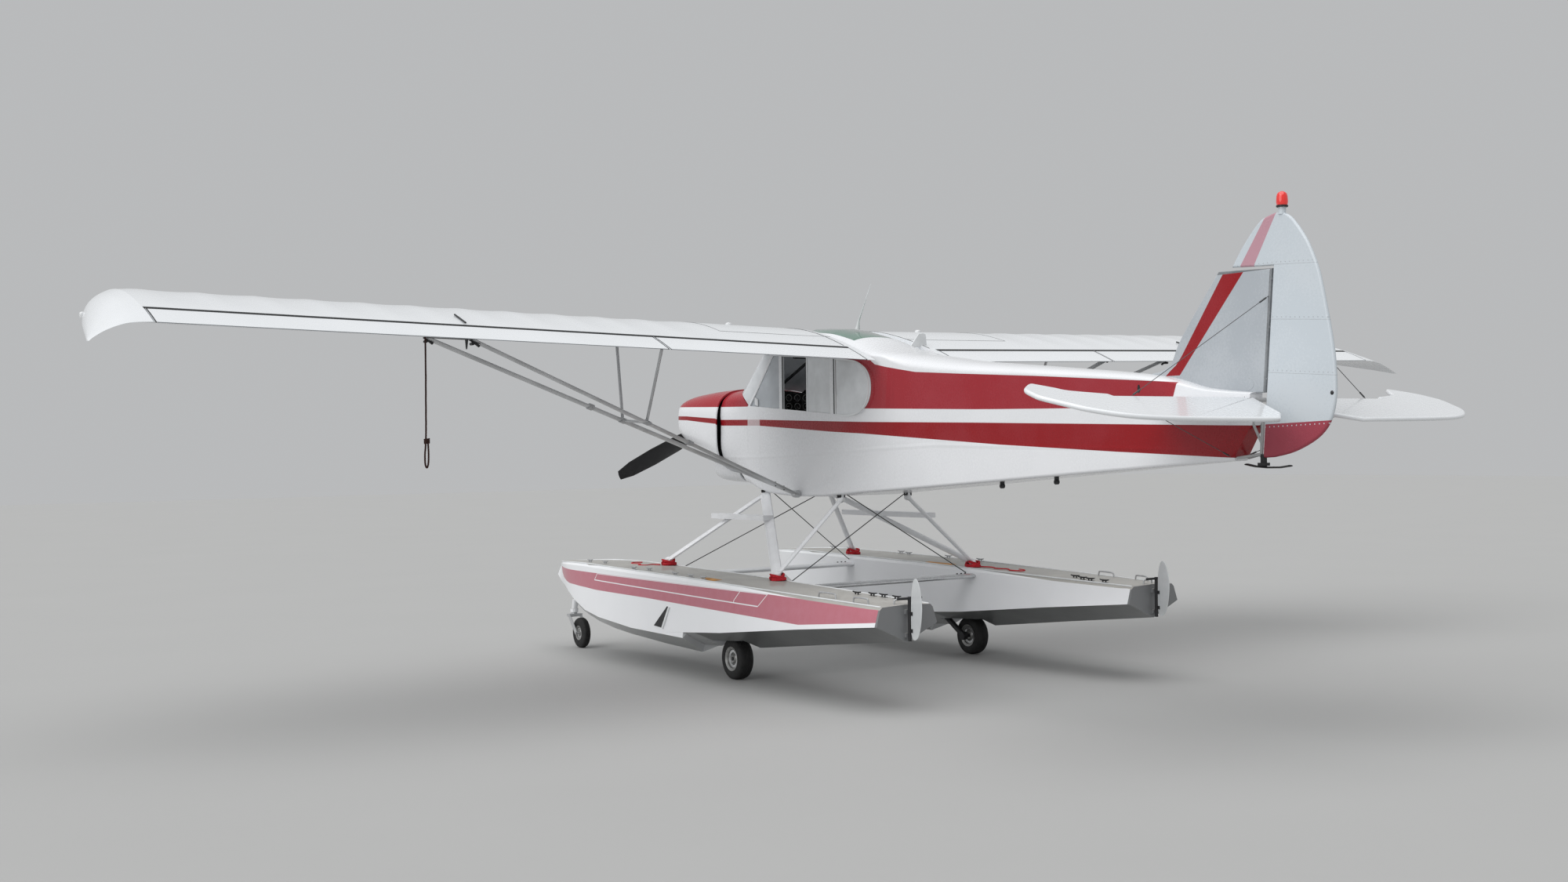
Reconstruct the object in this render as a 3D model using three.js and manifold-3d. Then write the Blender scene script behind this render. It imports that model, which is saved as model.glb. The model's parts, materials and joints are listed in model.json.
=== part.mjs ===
// A two-seat high-wing floatplane on a pair of amphibious floats, standing on its four wheels.
// Millimetres. +X is to port (the aeroplane's own left), -Y is ahead, +Z is up, the ground is z = 0.
// Stations along Y are first measured aft from the wing's leading edge; one group at the end moves
// them so that the origin lies on the ground at mid length.
import * as THREE from 'three'
import { mergeVertices } from 'three/addons/utils/BufferGeometryUtils.js'
import Module from 'manifold-3d'

const wasm = await Module()
wasm.setup()

// Driving dimensions.
const HALF_SPAN = 5575
const CHORD = 1600
const BOW = -2325
const TAIL = 5645
const MID = 1642.5
const GAP = 0.35

// Fuselage: half width of the cabin and of the tail post, with the stations between which it tapers.
const CABIN_HALF = 345
const TAIL_HALF = 45
const TAPER_START = 1100
const TAPER_END = 5150
const WALL = 14
const FIREWALL = -625
const CABIN_END = 1750

// Wing: heights of the flat lower face at the leading and trailing edges, at the root and at the tip.
const WING_ROOT = { x: CABIN_HALF + 3, lead: 2482, trail: 2348 }
const WING_TIP = { x: 5240, lead: 2572, trail: 2460 }
const HINGE = { y: 1362, cove: 50, nose: 44, up: 40 }
const SPLIT = 2024
const AILERON_END = 5232
const SURFACE_GAP = 9

// Floats: centre line, and where the step, the stern and the main wheel lie along it.
const FLOAT_X = 1093
const STERN = 3002
const MAIN_WHEEL = { x: 1105, y: 850, radius: 155, rim: 82, width: 118, bore: 15 }
const BOW_WHEEL = { x: FLOAT_X, y: -1868, radius: 130, rim: 55, width: 66, bore: 12 }
const CASTER_Y = -2010
const WELL = { x0: 952, x1: 1236, y0: 600, y1: 1165, top: 440 }

// Where the float struts meet the fuselage and the floats, and the lift struts the fuselage.
const FRONT_FITTING = { x: 330, y: -55 }
const REAR_FITTING = { x: 330, y: 1067 }
const FRONT_FOOT = { x: 905, y: -610 }
const REAR_FOOT = { x: 912, y: 1108 }
const STRUT_ROOT = { y: 526, z: 1352 }
const JURY_X = 1790
const LUG = 30
const STAY = { top: 272, foot: 850, below: 44 }
const STEP = { x: 550, z: 1184, wide: 92, thick: 40 }

// Tail: the hinge lines of the rudder and of the elevator.
const RUDDER_FOOT = { y: 5130, z: 1910 }
const RUDDER_LEAN = 0.0891
const TAIL_THICK = 28
const ELEVATOR = { y: 5062, z: 1960, droop: 15 }
const PROP = { y: -1368, z: 1955, radius: 1060, angle: 25.8 }

const colours = {
  white: [0xe9ecee, 0.35, 0], red: [0x8e1420, 0.35, 0], hullGrey: [0x55585a, 0.6, 0.1],
  deckGrey: [0x8d8c88, 0.85, 0], metal: [0xa9adb0, 0.4, 0.8], dark: [0x222426, 0.6, 0.1],
  rubber: [0x161616, 0.9, 0], glass: [0xbfd4d8, 0.08, 0], greenGlass: [0x6f9a86, 0.08, 0],
  fabric: [0x3b3a3a, 0.9, 0], rope: [0xd9d4c8, 0.9, 0], lamp: [0x9c1f1a, 0.2, 0],
}
const group = new THREE.Group()
const airframe = new THREE.Group()
airframe.position.set(0, -MID, 0)
group.add(airframe)

// Solids in and out of the boolean library.
function solid(geometry) {
  const bare = geometry.clone()
  for (const name of Object.keys(bare.attributes)) if (name !== 'position') bare.deleteAttribute(name)
  const merged = mergeVertices(bare, 1e-3)
  const vertProperties = new Float32Array(merged.attributes.position.array)
  const triVerts = new Uint32Array(merged.index.array)
  return new wasm.Manifold(new wasm.Mesh({ numProp: 3, vertProperties, triVerts }))
}

function toGeometry(manifold) {
  const mesh = manifold.getMesh()
  const geometry = new THREE.BufferGeometry()
  const count = mesh.vertProperties.length / mesh.numProp
  const positions = new Float32Array(count * 3)
  for (let i = 0; i < count; i++) {
    for (let k = 0; k < 3; k++) positions[3 * i + k] = mesh.vertProperties[mesh.numProp * i + k]
  }
  geometry.setAttribute('position', new THREE.BufferAttribute(positions, 3))
  geometry.setIndex(Array.from(mesh.triVerts))
  geometry.computeVertexNormals()
  return geometry
}

function add(name, manifold, colour) {
  const [color, roughness, metalness] = colours[colour]
  const material = new THREE.MeshStandardMaterial({ color, roughness, metalness })
  const mesh = new THREE.Mesh(toGeometry(manifold), material)
  mesh.name = name
  airframe.add(mesh)
  return manifold
}

const join = (...parts) => parts.reduce((a, b) => a.add(b))
const mirror = (part) => part.mirror([1, 0, 0])
const move = (part, x, y, z) => part.translate([x, y, z])
// The biggest of the bodies that a cut leaves.
const largest = (part) => part.decompose().sort((a, b) => b.volume() - a.volume())[0]

// A piece with every other piece cut out of it, and a gap left all round them.
const NUDGES = [
  [0, 0, 0], [GAP, 0, 0], [-GAP, 0, 0], [0, GAP, 0], [0, -GAP, 0], [0, 0, GAP], [0, 0, -GAP],
]
const clearOf = (part, ...others) => largest(others.reduce((left, other) =>
  NUDGES.reduce((rest, nudge) => rest.subtract(other.translate(nudge)), left), part))

// A box given by its lowest and highest corners.
function block(x0, y0, z0, x1, y1, z1) {
  const box = new THREE.BoxGeometry(x1 - x0, y1 - y0, z1 - z0)
  box.translate((x0 + x1) / 2, (y0 + y1) / 2, (z0 + z1) / 2)
  return solid(box)
}

// A solid through rings of points [x, y, z], all of one length, with flat ends.
function loft(rings) {
  const n = rings[0].length
  const positions = rings.flat(2)
  const index = []
  for (let r = 0; r + 1 < rings.length; r++) {
    for (let i = 0; i < n; i++) {
      const a = r * n + i
      const b = r * n + ((i + 1) % n)
      index.push(a, b, b + n, a, b + n, a + n)
    }
  }
  const ends = [[rings[0], 0, 1], [rings[rings.length - 1], (rings.length - 1) * n, -1]]
  for (const [ring, start, side] of ends) {
    const centre = [0, 1, 2].map((k) => ring.reduce((sum, p) => sum + p[k], 0) / n)
    const hub = positions.length / 3
    positions.push(...centre)
    for (let i = 0; i < n; i++) {
      const a = start + i
      const b = start + ((i + 1) % n)
      if (side > 0) index.push(hub, b, a)
      else index.push(hub, a, b)
    }
  }
  const geometry = new THREE.BufferGeometry()
  geometry.setAttribute('position', new THREE.Float32BufferAttribute(positions, 3))
  geometry.setIndex(index)
  return outward(geometry)
}

// Turns a closed surface the right way out and makes a solid of it.
function outward(geometry) {
  const p = geometry.attributes.position
  const index = geometry.index.array
  let volume = 0
  const v = [new THREE.Vector3(), new THREE.Vector3(), new THREE.Vector3()]
  for (let t = 0; t < index.length; t += 3) {
    v.forEach((corner, k) => corner.fromBufferAttribute(p, index[t + k]))
    volume += v[0].dot(v[1].clone().cross(v[2]))
  }
  if (volume < 0) {
    for (let t = 0; t < index.length; t += 3) [index[t + 1], index[t + 2]] = [index[t + 2], index[t + 1]]
  }
  return solid(geometry)
}

// A round or elliptical bar between two points; across is the direction of its wide axis.
function bar(from, to, radius, sides = 10, thick = radius, across = [0, 1, 0]) {
  const a = new THREE.Vector3(...from)
  const b = new THREE.Vector3(...to)
  const along = b.clone().sub(a).normalize()
  const wide = new THREE.Vector3(...across).addScaledVector(along, -along.dot(new THREE.Vector3(...across)))
  if (wide.length() < 0.1) wide.set(1, 0, 0).addScaledVector(along, -along.x)
  wide.normalize()
  const flat = along.clone().cross(wide)
  const ring = (centre) => Array.from({ length: sides }, (_, i) => {
    const angle = (2 * Math.PI * (i + 0.5)) / sides
    const p = centre.clone().addScaledVector(wide, radius * Math.cos(angle))
    return p.addScaledVector(flat, thick * Math.sin(angle)).toArray()
  })
  return loft([ring(a), ring(b)])
}

function ball(x, y, z, radius = LUG) {
  const sphere = new THREE.SphereGeometry(radius, 8, 6)
  sphere.translate(x, y, z)
  return solid(sphere)
}

// A flat plate: an outline [[u, v]...] in the plane across the named axis, from low to high along it.
function plate(axis, outline, low, high) {
  const place = { x: (u, v, w) => [w, u, v], y: (u, v, w) => [u, w, v], z: (u, v, w) => [u, v, w] }[axis]
  const shape = new THREE.Shape(outline.map(([u, v]) => new THREE.Vector2(u, v)))
  const extrusion = new THREE.ExtrudeGeometry(shape, { depth: high - low, bevelEnabled: false, steps: 1 })
  const p = extrusion.attributes.position
  for (let i = 0; i < p.count; i++) p.setXYZ(i, ...place(p.getX(i), p.getY(i), p.getZ(i) + low))
  extrusion.deleteAttribute('normal')
  extrusion.deleteAttribute('uv')
  return outward(mergeVertices(extrusion, 1e-3))
}

// A turned piece: profile [[radius, height]...] about a line along X through (y, z).
function turned(profile, x, y, z, segments = 24) {
  const lathe = new THREE.LatheGeometry(profile.map(([r, h]) => new THREE.Vector2(r, h)), segments)
  lathe.rotateZ(-Math.PI / 2)
  lathe.translate(x, y, z)
  lathe.deleteAttribute('normal')
  lathe.deleteAttribute('uv')
  return outward(mergeVertices(lathe, 1e-3))
}

const lerp = (a, b, t) => a + (b - a) * t
// Straight-line reading of a table of [station, value...] rows, at one column.
function read(table, y, column = 1) {
  if (y <= table[0][0]) return table[0][column]
  for (let i = 1; i < table.length; i++) {
    if (y <= table[i][0]) {
      const t = (y - table[i - 1][0]) / (table[i][0] - table[i - 1][0])
      return lerp(table[i - 1][column], table[i][column], t)
    }
  }
  return table[table.length - 1][column]
}

// Fuselage sections: station, half width, bottom, top of the flat side, crown, bottom corner.
const taper = (y) => lerp(CABIN_HALF, TAIL_HALF, Math.max(0, (y - TAPER_START) / (TAPER_END - TAPER_START)))
const fuselage = [
  [FIREWALL, 388, 1462, 1985, 2208, 150],
  [-460, 386, 1440, 2010, 2214, 130],
  [-250, 354, 1418, 2100, 2220, 60],
  [-70, 345, 1374, 2360, 2450, 22],
  [15, 345, 1358, 2478, 2520, 22],
  [60, 345, 1352, 2480, 2590],
  [200, 345, 1340, 2475, 2642],
  [480, 345, 1330, 2455, 2664],
  [800, 345, 1333, 2430, 2640],
  [1100, 345, 1350, 2405, 2570],
  [1350, taper(1350), 1368, 2385, 2485],
  [1600, taper(1600), 1383, 2372, 2425],
  [CABIN_END, taper(CABIN_END), 1392, 2325, 2398],
  [1904, taper(1904), 1402, 2282, 2380],
  [2425, taper(2425), 1436, 2227, 2312],
  [3234, taper(3234), 1491, 2173, 2237],
  [4160, taper(4160), 1553, 2107, 2146],
  [4400, taper(4400), 1569, 2080, 2112],
  [4700, taper(4700), 1588, 2020, 2040],
  [5080, taper(5080), 1612, 1990, 2002],
]
function hoop(y, inset = 0) {
  const corner = read(fuselage.map((row) => [row[0], row[5] ?? 22]), y)
  const half = read(fuselage, y, 1) - inset
  const low = read(fuselage, y, 2) + inset
  const side = read(fuselage, y, 3) - inset * 0.6
  const top = read(fuselage, y, 4) - inset
  const rise = top - side
  const right = [[half - corner, low], [half, low + corner], [half, side], [half * 0.93, side + 0.42 * rise],
    [half * 0.72, side + 0.76 * rise], [half * 0.4, side + 0.95 * rise]]
  const left = right.map(([x, z]) => [-x, z]).reverse()
  return [...right, [0, top], ...left].map(([x, z]) => [x, y, z])
}
const stations = fuselage.map((row) => row[0])
const hoops = (from, to, inset = 0) => {
  const inner = stations.filter((y) => y > from + 1 && y < to - 1)
  return loft([from, ...inner, to].map((y) => hoop(y, inset)))
}

// Window band of the cabin side: lower sill and upper header as lines of station.
const sill = (y) => read([[-243, 2056], [195, 2030], [1036, 1967], [1290, 1949], [1600, 1945]], y)
const header = (y) => read([[0, 2466], [160, 2452], [1040, 2386], [1500, 2352]], y)
const WINDOWS = {
  quarter: [[-214, sill(-214) + 6], [238, sill(238)], [238, header(238)], [150, header(150)]],
  slider: [[296, sill(296)], [985, sill(985)], [985, header(985)], [296, header(296)]],
  rear: [[1045, sill(1045)], [1290, 1949], [1420, 1985], [1490, 2080], [1500, 2180], [1470, 2280],
    [1395, 2345], [1045, header(1045)]],
}
const DOOR = { y0: 290, y1: 992, low: 1432, split: 1992 }
const ROOF = { half: 230, y0: 240, y1: 1150 }
const HINGE_OUT = CABIN_HALF + 6
const PILLAR = { top: [128, 2462], foot: [-236, 2052] }
const WINDSHIELD_BASE = [
  [345, -243, 2058], [343, -352, 2158], [262, -452, 2196], [140, -498, 2212], [0, -510, 2216],
]
const WINDSHIELD_TOP = [
  [345, 118, 2462], [343, 10, 2482], [262, -14, 2500], [140, -24, 2510], [0, -28, 2513],
]

function cabin() {
  const outer = hoops(FIREWALL, CABIN_END)
  const cavity = hoops(FIREWALL + 25, CABIN_END - 25, WALL)
  let shell = outer.subtract(cavity)
  const front = plate('x', [[-520, 2217], [-352, 2159], [-243, 2056], [116, 2456], [20, 2481], [-40, 2530],
    [-40, 2800], [-900, 2800], [-900, 2300], [-560, 2245]], -400, 400)
  shell = shell.subtract(front)
  for (const side of [1, -1]) {
    for (const name of ['quarter', 'slider', 'rear']) {
      const cut = plate('x', WINDOWS[name], 200, 420)
      if (side > 0) shell = shell.subtract(cut)
      else if (name !== 'slider') shell = shell.subtract(mirror(cut))
    }
    const foot = [side * 336, ...PILLAR.foot]
    const head = [side * 336, ...PILLAR.top]
    shell = shell.add(bar(foot, head, 12, 8))
  }
  shell = shell.subtract(plate('x', [[DOOR.y0, DOOR.low], [DOOR.y1, DOOR.low], [DOOR.y1, header(DOOR.y1)],
    [DOOR.y0, header(DOOR.y0)]], -420, -200))
  shell = shell.subtract(block(-ROOF.half, ROOF.y0, 2500, ROOF.half, ROOF.y1, 2800))
  const barrel = (line) => bar([-HINGE_OUT, 330, line(330)], [-HINGE_OUT, 950, line(950)], 7.4, 12)
  return join(shell, barrel(() => DOOR.low), barrel(header))
}
const cabinShell = add('cabin', cabin(), 'white')

// The glass lies in the openings, a hair smaller than they are.
const inset = (outline, d) => {
  const cu = outline.reduce((s, p) => s + p[0], 0) / outline.length
  const cv = outline.reduce((s, p) => s + p[1], 0) / outline.length
  return outline.map(([u, v]) => {
    const length = Math.hypot(u - cu, v - cv)
    return [u - (d * (u - cu)) / length, v - (d * (v - cv)) / length]
  })
}
const pane = (outline, x) => plate('x', inset(outline, 0.8), x - 2, x + 2)
add('quarter_window_port', pane(WINDOWS.quarter, 338), 'glass')
add('quarter_window_starboard', mirror(pane(WINDOWS.quarter, 338)), 'glass')
add('sliding_window', pane([[640, sill(640)], [985, sill(985)], [985, header(985)], [640, header(640)]], 338), 'glass')
const rearSheet = hoops(1040, 1505, 3).subtract(hoops(1035, 1510, 7))
const rearPane = (x) => rearSheet.intersect(plate('x', inset(WINDOWS.rear, 0.8), x - 80, x + 80))
add('rear_window_port', rearPane(330), 'glass')
add('rear_window_starboard', mirror(rearPane(330)), 'glass')

// The windshield is one bent sheet from its base to the wing's leading edge, rib by rib across.
function windshield() {
  const both = (edge) => [...edge, ...edge.slice(0, -1).reverse().map(([x, y, z]) => [-x, y, z])]
  const base = both(WINDSHIELD_BASE.map(([x, y, z]) => [x * 0.99, y + 4, z + 5]))
  const top = both(WINDSHIELD_TOP.map(([x, y, z]) => [x * 0.99, y - 5, z - 4]))
  const behindIt = ([x, y, z]) => [x * 0.985, y + 6, z - 3]
  return loft(base.map((foot, i) => [foot, top[i], behindIt(top[i]), behindIt(foot)]))
}
const windshieldSheet = windshield().subtract(move(cabinShell, 0, 0, GAP)).subtract(cabinShell)
add('windshield', largest(windshieldSheet), 'glass')
const roofSheet = hoops(245, 1145, 2).subtract(hoops(200, 1200, 8))
const skylight = roofSheet.intersect(block(-ROOF.half + GAP, ROOF.y0 + GAP, 2520, ROOF.half - GAP, ROOF.y1 - GAP, 2800))
add('skylight', skylight, 'greenGlass')

// Inside the cabin.
const INSIDE = CABIN_HALF - WALL - GAP
add('instrument_panel', block(-INSIDE, 0, 1900, INSIDE, 18, 2165), 'dark')
// A cushion with a leaning back on a pedestal that reaches the floor.
function seat(y, width, low, depth, high) {
  const rear = y + depth
  const whole = join(
    block(-width, y, low, width, rear, low + 90),
    plate('x', [[rear - 60, low], [rear + 30, low], [rear + 110, high], [rear + 40, high]], -width, width),
    block(-width + 40, y + 60, read(fuselage, y, 2), width - 40, rear - 60, low + 1),
  )
  return largest(whole.subtract(cabinShell).subtract(move(cabinShell, 0, 0, GAP)))
}
add('front_seat', seat(330, 215, 1590, 400, 2090), 'fabric')
add('rear_seat', seat(1010, 250, 1560, 400, 2040), 'fabric')

// Starboard door: the upper half swings up under the wing, the lower half swings down.
const doorSkin = (outline) => plate('x', outline, -345, -327)
const clear = 5
add('door_lower', doorSkin([[DOOR.y0 + clear, DOOR.low + clear], [DOOR.y1 - clear, DOOR.low + clear],
  [DOOR.y1 - clear, DOOR.split - 3], [DOOR.y0 + clear, DOOR.split - 3]]), 'white')
const doorTop = doorSkin([[DOOR.y0 + clear, DOOR.split + 3], [DOOR.y1 - clear, DOOR.split + 3],
  [DOOR.y1 - clear, header(DOOR.y1) - clear], [DOOR.y0 + clear, header(DOOR.y0) - clear]])
const doorHole = [[DOOR.y0 + 35, DOOR.split + 33], [DOOR.y1 - 35, DOOR.split + 33],
  [DOOR.y1 - 35, header(DOOR.y1) - 35], [DOOR.y0 + 35, header(DOOR.y0) - 35]]
add('door_upper', doorTop.subtract(plate('x', doorHole, -400, -300)), 'white')
add('door_window', plate('x', inset(doorHole, 0.8), -338, -334), 'glass')

// Engine bay: the cowl is a shell, open behind and at the two cooling inlets, round one heavy block.
// Cowl sections: station, half width, bottom, top.
const cowlTable = [
  [-1335, 345, 1850, 2105],
  [-1324, 400, 1815, 2135],
  [-1290, 434, 1775, 2160],
  [-1180, 448, 1715, 2184],
  [-1000, 452, 1655, 2200],
  [-850, 450, 1600, 2210],
  [FIREWALL - GAP, 440, 1500, 2216],
]
function rounded(y, half, low, high, power = 0.55, points = 20) {
  const centre = (low + high) / 2
  return Array.from({ length: points }, (_, i) => {
    const angle = (2 * Math.PI * (i + 0.5)) / points
    const c = Math.cos(angle)
    const s = Math.sin(angle)
    const z = centre + ((high - low) / 2) * Math.sign(s) * Math.abs(s) ** power
    return [half * Math.sign(c) * Math.abs(c) ** power, y, z]
  })
}
// The chin scoop under the cowl and its throat, in the same columns.
const scoopTable = [
  [-1106, 150, 1510, 1640],
  [-1090, 195, 1462, 1700],
  [-1040, 215, 1442, 1720],
  [-800, 222, 1425, 1720],
  [FIREWALL + 5, 222, 1422, 1720],
]
const throatTable = [[-1130, 120, 1530, 1625], [-1025, 120, 1520, 1625]]
const INLET = { x: 205, half: 105, low: 1900, high: 2035, from: -1450, to: -1200 }
const HUB_HOLE = 60
function cowl() {
  const outer = loft(cowlTable.map((row) => rounded(...row)))
  const inner = loft(cowlTable.slice(1).map(([y, half, low, high]) =>
    rounded(y > FIREWALL - 1 ? y + 5 : y, half - 12, low + 12, high - 12)))
  let shell = outer.subtract(inner)
  const inlet = loft([INLET.from, INLET.to].map((y) => rounded(y, INLET.half, INLET.low, INLET.high, 0.8, 14)))
  for (const side of [1, -1]) shell = shell.subtract(move(inlet, side * INLET.x, 0, 0))
  const hub = loft([INLET.from, INLET.to].map((y) => rounded(y, HUB_HOLE, PROP.z - HUB_HOLE, PROP.z + HUB_HOLE, 1, 14)))
  const scoop = loft(scoopTable.map((row) => rounded(...row, 0.6, 14)))
  const throat = loft(throatTable.map((row) => rounded(...row, 0.7, 12)))
  shell = shell.subtract(hub).add(scoop.subtract(inner)).subtract(throat)
  return shell.subtract(block(-500, FIREWALL - GAP, 1400, 500, -500, 2300))
}
add('engine_cowl', cowl(), 'white')
const engine = join(
  block(-350, -1120, 1800, 350, -760, 2050),
  block(-180, -1120, 1740, 180, FIREWALL - GAP, 2120),
  bar([0, -1120, PROP.z], [0, PROP.y + 24 + GAP, PROP.z], 34, 14),
)
add('engine', engine, 'dark')

// Propeller: two twisted blades, a hub and a small rounded spinner, free of the crankshaft's end.
function propeller() {
  // Columns: distance out, half width, thickness, pitch in degrees.
  const bladeRows = [
    [60, 40, 34, 62],
    [180, 62, 26, 46],
    [420, 88, 17, 30],
    [700, 84, 12, 20],
    [930, 70, 8, 15],
    [1055, 42, 5, 13],
    [PROP.radius, 14, 3, 12],
  ]
  const section = ([r, wide, thick, pitch]) => Array.from({ length: 12 }, (_, i) => {
    const a = (2 * Math.PI * (i + 0.5)) / 12
    const u = wide * Math.cos(a)
    const v = (thick / 2) * Math.sin(a)
    const t = (pitch * Math.PI) / 180
    return [r, v * Math.cos(t) + u * Math.sin(t), u * Math.cos(t) - v * Math.sin(t)]
  })
  const blade = loft(bladeRows.map(section))
  const both = blade.add(blade.rotate([0, 180, 0]))
  const hub = bar([0, -62, 0], [0, 46, 0], 78, 20)
  const cone = loft([[-62, 74], [-110, 60], [-150, 36], [-165, 12]].map(([y, r]) => rounded(y, r, -r, r, 1, 20)))
  return join(both, hub, cone).rotate([0, PROP.angle, 0])
}
add('propeller', move(propeller(), 0, PROP.y - 22, PROP.z), 'dark')

// Tail cone, with its end cut away on a slant over the open tail truss.
const cutEnd = plate('x', [[4902, 1560], [4918, 1632], [5046, 1812], [5058, 1936], [5036, 1936], [5036, 1992],
  [5110, 2100], [5400, 2100], [5400, 1560]], -200, 200)
const coneSkin = hoops(CABIN_END + GAP, 5080).subtract(hoops(CABIN_END - 5, 4860, WALL))
const tailCone = add('tail_cone', coneSkin.subtract(cutEnd), 'white')
const hingeY = (z) => RUDDER_FOOT.y + (z - RUDDER_FOOT.z) * RUDDER_LEAN
const postAt = (z) => [0, hingeY(z) - 34, z]
// Tubes from the cone's open end to the stern post. Columns: half width, station, height, height on the post.
const trussTable = [[50, 4925, 1618, 1640], [40, 5040, 1830, 1700], [40, 5040, 1860, 1900]]
const trussTubes = trussTable.flatMap(([x, y, z, foot]) => [x, -x].map((side) => bar([side, y, z], postAt(foot), 9, 8)))
const truss = join(bar(postAt(1622), postAt(1930), 11, 8), ...trussTubes)
add('tail_truss', truss.subtract(move(tailCone, 0, GAP, 0)).subtract(tailCone), 'metal')

// Fin and rudder; the rudder's balance horn reaches ahead over the fin's top.
const finTop = (y) => lerp(2738, 2722, (y - 4750) / 440)
const finOutline = [[4130, 2146], [4240, 2160], [4310, 2185], [4352, 2225], [4437, 2368], [4752, finTop(4752)],
  [hingeY(2722) - 20, finTop(5185)], [hingeY(2000) - 20, 2000], [4700, 1960], [4300, 2000]]
const torqueSlot = bar([-200, ELEVATOR.y, ELEVATOR.z], [200, ELEVATOR.y, ELEVATOR.z], 26, 16)
const half = TAIL_THICK / 2
const fin = plate('x', finOutline, -half, half)
const aheadOf = (z, d) => [0, hingeY(z) - d, z + d * RUDDER_LEAN]
const finLugs = [2080, 2380, 2660].map((z) => bar(aheadOf(z, 26), aheadOf(z, half + 0.45), 8, 6))
const finSolid = join(fin, ...finLugs).subtract(move(tailCone, 0, 0, GAP)).subtract(tailCone)
const finPiece = add('fin', largest(finSolid.subtract(torqueSlot)), 'white')
const rudderOutline = [[4862, 2752], [4949, 2868], [5076, 2995], [5160, 3030], [5245, 3042], [5310, 3018], [5359, 2975],
  [5420, 2900], [5473, 2815], [5534, 2672], [5587, 2455], [5631, 2230], [TAIL, 2043], [5635, 1920], [5593, 1811],
  [5501, 1726], [5337, 1654], [5180, 1622], [hingeY(1618), 1618], [hingeY(2735), 2735]]
const rudderNose = bar([0, hingeY(1618), 1618], [0, hingeY(2735), 2735], half, 12)
const BEACON = { y: 5256, z: 3078 }
const beaconLeg = bar([0, BEACON.y, 3030], [0, BEACON.y, BEACON.z], 22, 12)
add('rudder', join(plate('x', rudderOutline, -half, half), rudderNose, beaconLeg), 'white')
const beaconRing = ([z, r]) => Array.from({ length: 14 }, (_, i) => {
  const a = (2 * Math.PI * i) / 14
  return [r * Math.cos(a), BEACON.y + r * Math.sin(a), z]
})
add('beacon', loft([[BEACON.z + GAP, 34], [3095, 38], [3130, 36], [3152, 24], [3160, 8]].map(beaconRing)), 'lamp')

// Stabilizer halves, and the elevator's halves on their torque tube, which park drooped.
const stabOutline = [[taper(4400) + GAP, 4372], [500, 4446], [900, 4556], [1080, 4650], [1140, 4745],
  [1141, ELEVATOR.y - 21], [taper(5020) + GAP, ELEVATOR.y - 21]]
const stab = plate('z', stabOutline, ELEVATOR.z - half, ELEVATOR.z + half)
const BRACE = { x: 1000, y: 5030, footY: 4890, footZ: 1628, topY: 5155, topZ: 2560 }
const lowerWire = bar([BRACE.x, BRACE.y, ELEVATOR.z - half + 1], [taper(BRACE.footY) + GAP, BRACE.footY, BRACE.footZ], 3, 6)
const upperWire = bar([BRACE.x, BRACE.y, ELEVATOR.z + half - 1], [half + GAP + 1, BRACE.topY, BRACE.topZ], 3, 6)
const stabLugs = [180, 620, 1040].map((x) =>
  bar([x, ELEVATOR.y - 24, ELEVATOR.z], [x, ELEVATOR.y - half - 0.4, ELEVATOR.z], 8, 6))
const stabWhole = join(stab, lowerWire, upperWire, ...stabLugs)
const stabSolid = largest(stabWhole.subtract(move(tailCone, GAP, 0, 0)).subtract(move(finPiece, GAP, 0, 0)))
add('stabilizer_port', stabSolid, 'white')
add('stabilizer_starboard', mirror(stabSolid), 'white')
// Half of the elevator: distance from the centre line, then distance behind the hinge line.
const elevatorHalf = [[52, 0], [1150, 0], [1150, -60], [1370, -128], [1420, -190], [1480, -260], [1520, -290],
  [1590, -237], [1665, -156], [1695, -50], [1700, 20], [1645, 150], [1560, 300], [1360, 430], [984, 479], [354, 496],
  [222, 380], [76, 48]].map(([x, d]) => [x, ELEVATOR.y + d])
const elevatorFlat = join(
  plate('z', elevatorHalf, ELEVATOR.z - half, ELEVATOR.z + half),
  bar([52, ELEVATOR.y, ELEVATOR.z], [1150, ELEVATOR.y, ELEVATOR.z], half, 12),
)
const level = move(elevatorFlat, 0, -ELEVATOR.y, -ELEVATOR.z)
const elevatorPort = move(level.rotate([-ELEVATOR.droop, 0, 0]), 0, ELEVATOR.y, ELEVATOR.z)
add('elevator_port', elevatorPort, 'white')
add('elevator_starboard', mirror(elevatorPort), 'white')
const TUBE_HALF = 52 - GAP
add('elevator_tube', bar([-TUBE_HALF, ELEVATOR.y, ELEVATOR.z], [TUBE_HALF, ELEVATOR.y, ELEVATOR.z], 12, 12), 'metal')

// Wing: an aerofoil with a flat lower face. Columns: share of chord, upper height, lower height.
const aerofoil = [
  [1, 0.003, 0], [0.9, 0.036, 0], [0.8, 0.063, 0], [0.65, 0.096, 0], [0.5, 0.12, 0], [0.36, 0.13, 0], [0.2, 0.127, 0],
  [0.1, 0.11, 0.001], [0.04, 0.083, 0.006], [0.012, 0.058, 0.014], [0, 0.03, 0.03],
]
const lead = (x) => lerp(WING_ROOT.lead, WING_TIP.lead, (x - WING_ROOT.x) / (WING_TIP.x - WING_ROOT.x))
const trail = (x) => lerp(WING_ROOT.trail, WING_TIP.trail, (x - WING_ROOT.x) / (WING_TIP.x - WING_ROOT.x))
const wingLow = (x, y) => lerp(lead(x), trail(x), y / CHORD)
function wingRing(x, front = 0, back = CHORD, droop = 0, swell = 1) {
  const length = back - front
  const upper = aerofoil.map(([c, u]) => [front + c * length, u * CHORD * swell - droop])
  const lower = aerofoil.slice(0, -1).reverse().map(([c, , l]) => [front + c * length, l * CHORD * swell - droop])
  return [...upper, ...lower].map(([y, h]) => [x, y, wingLow(x, y) + h])
}
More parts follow.
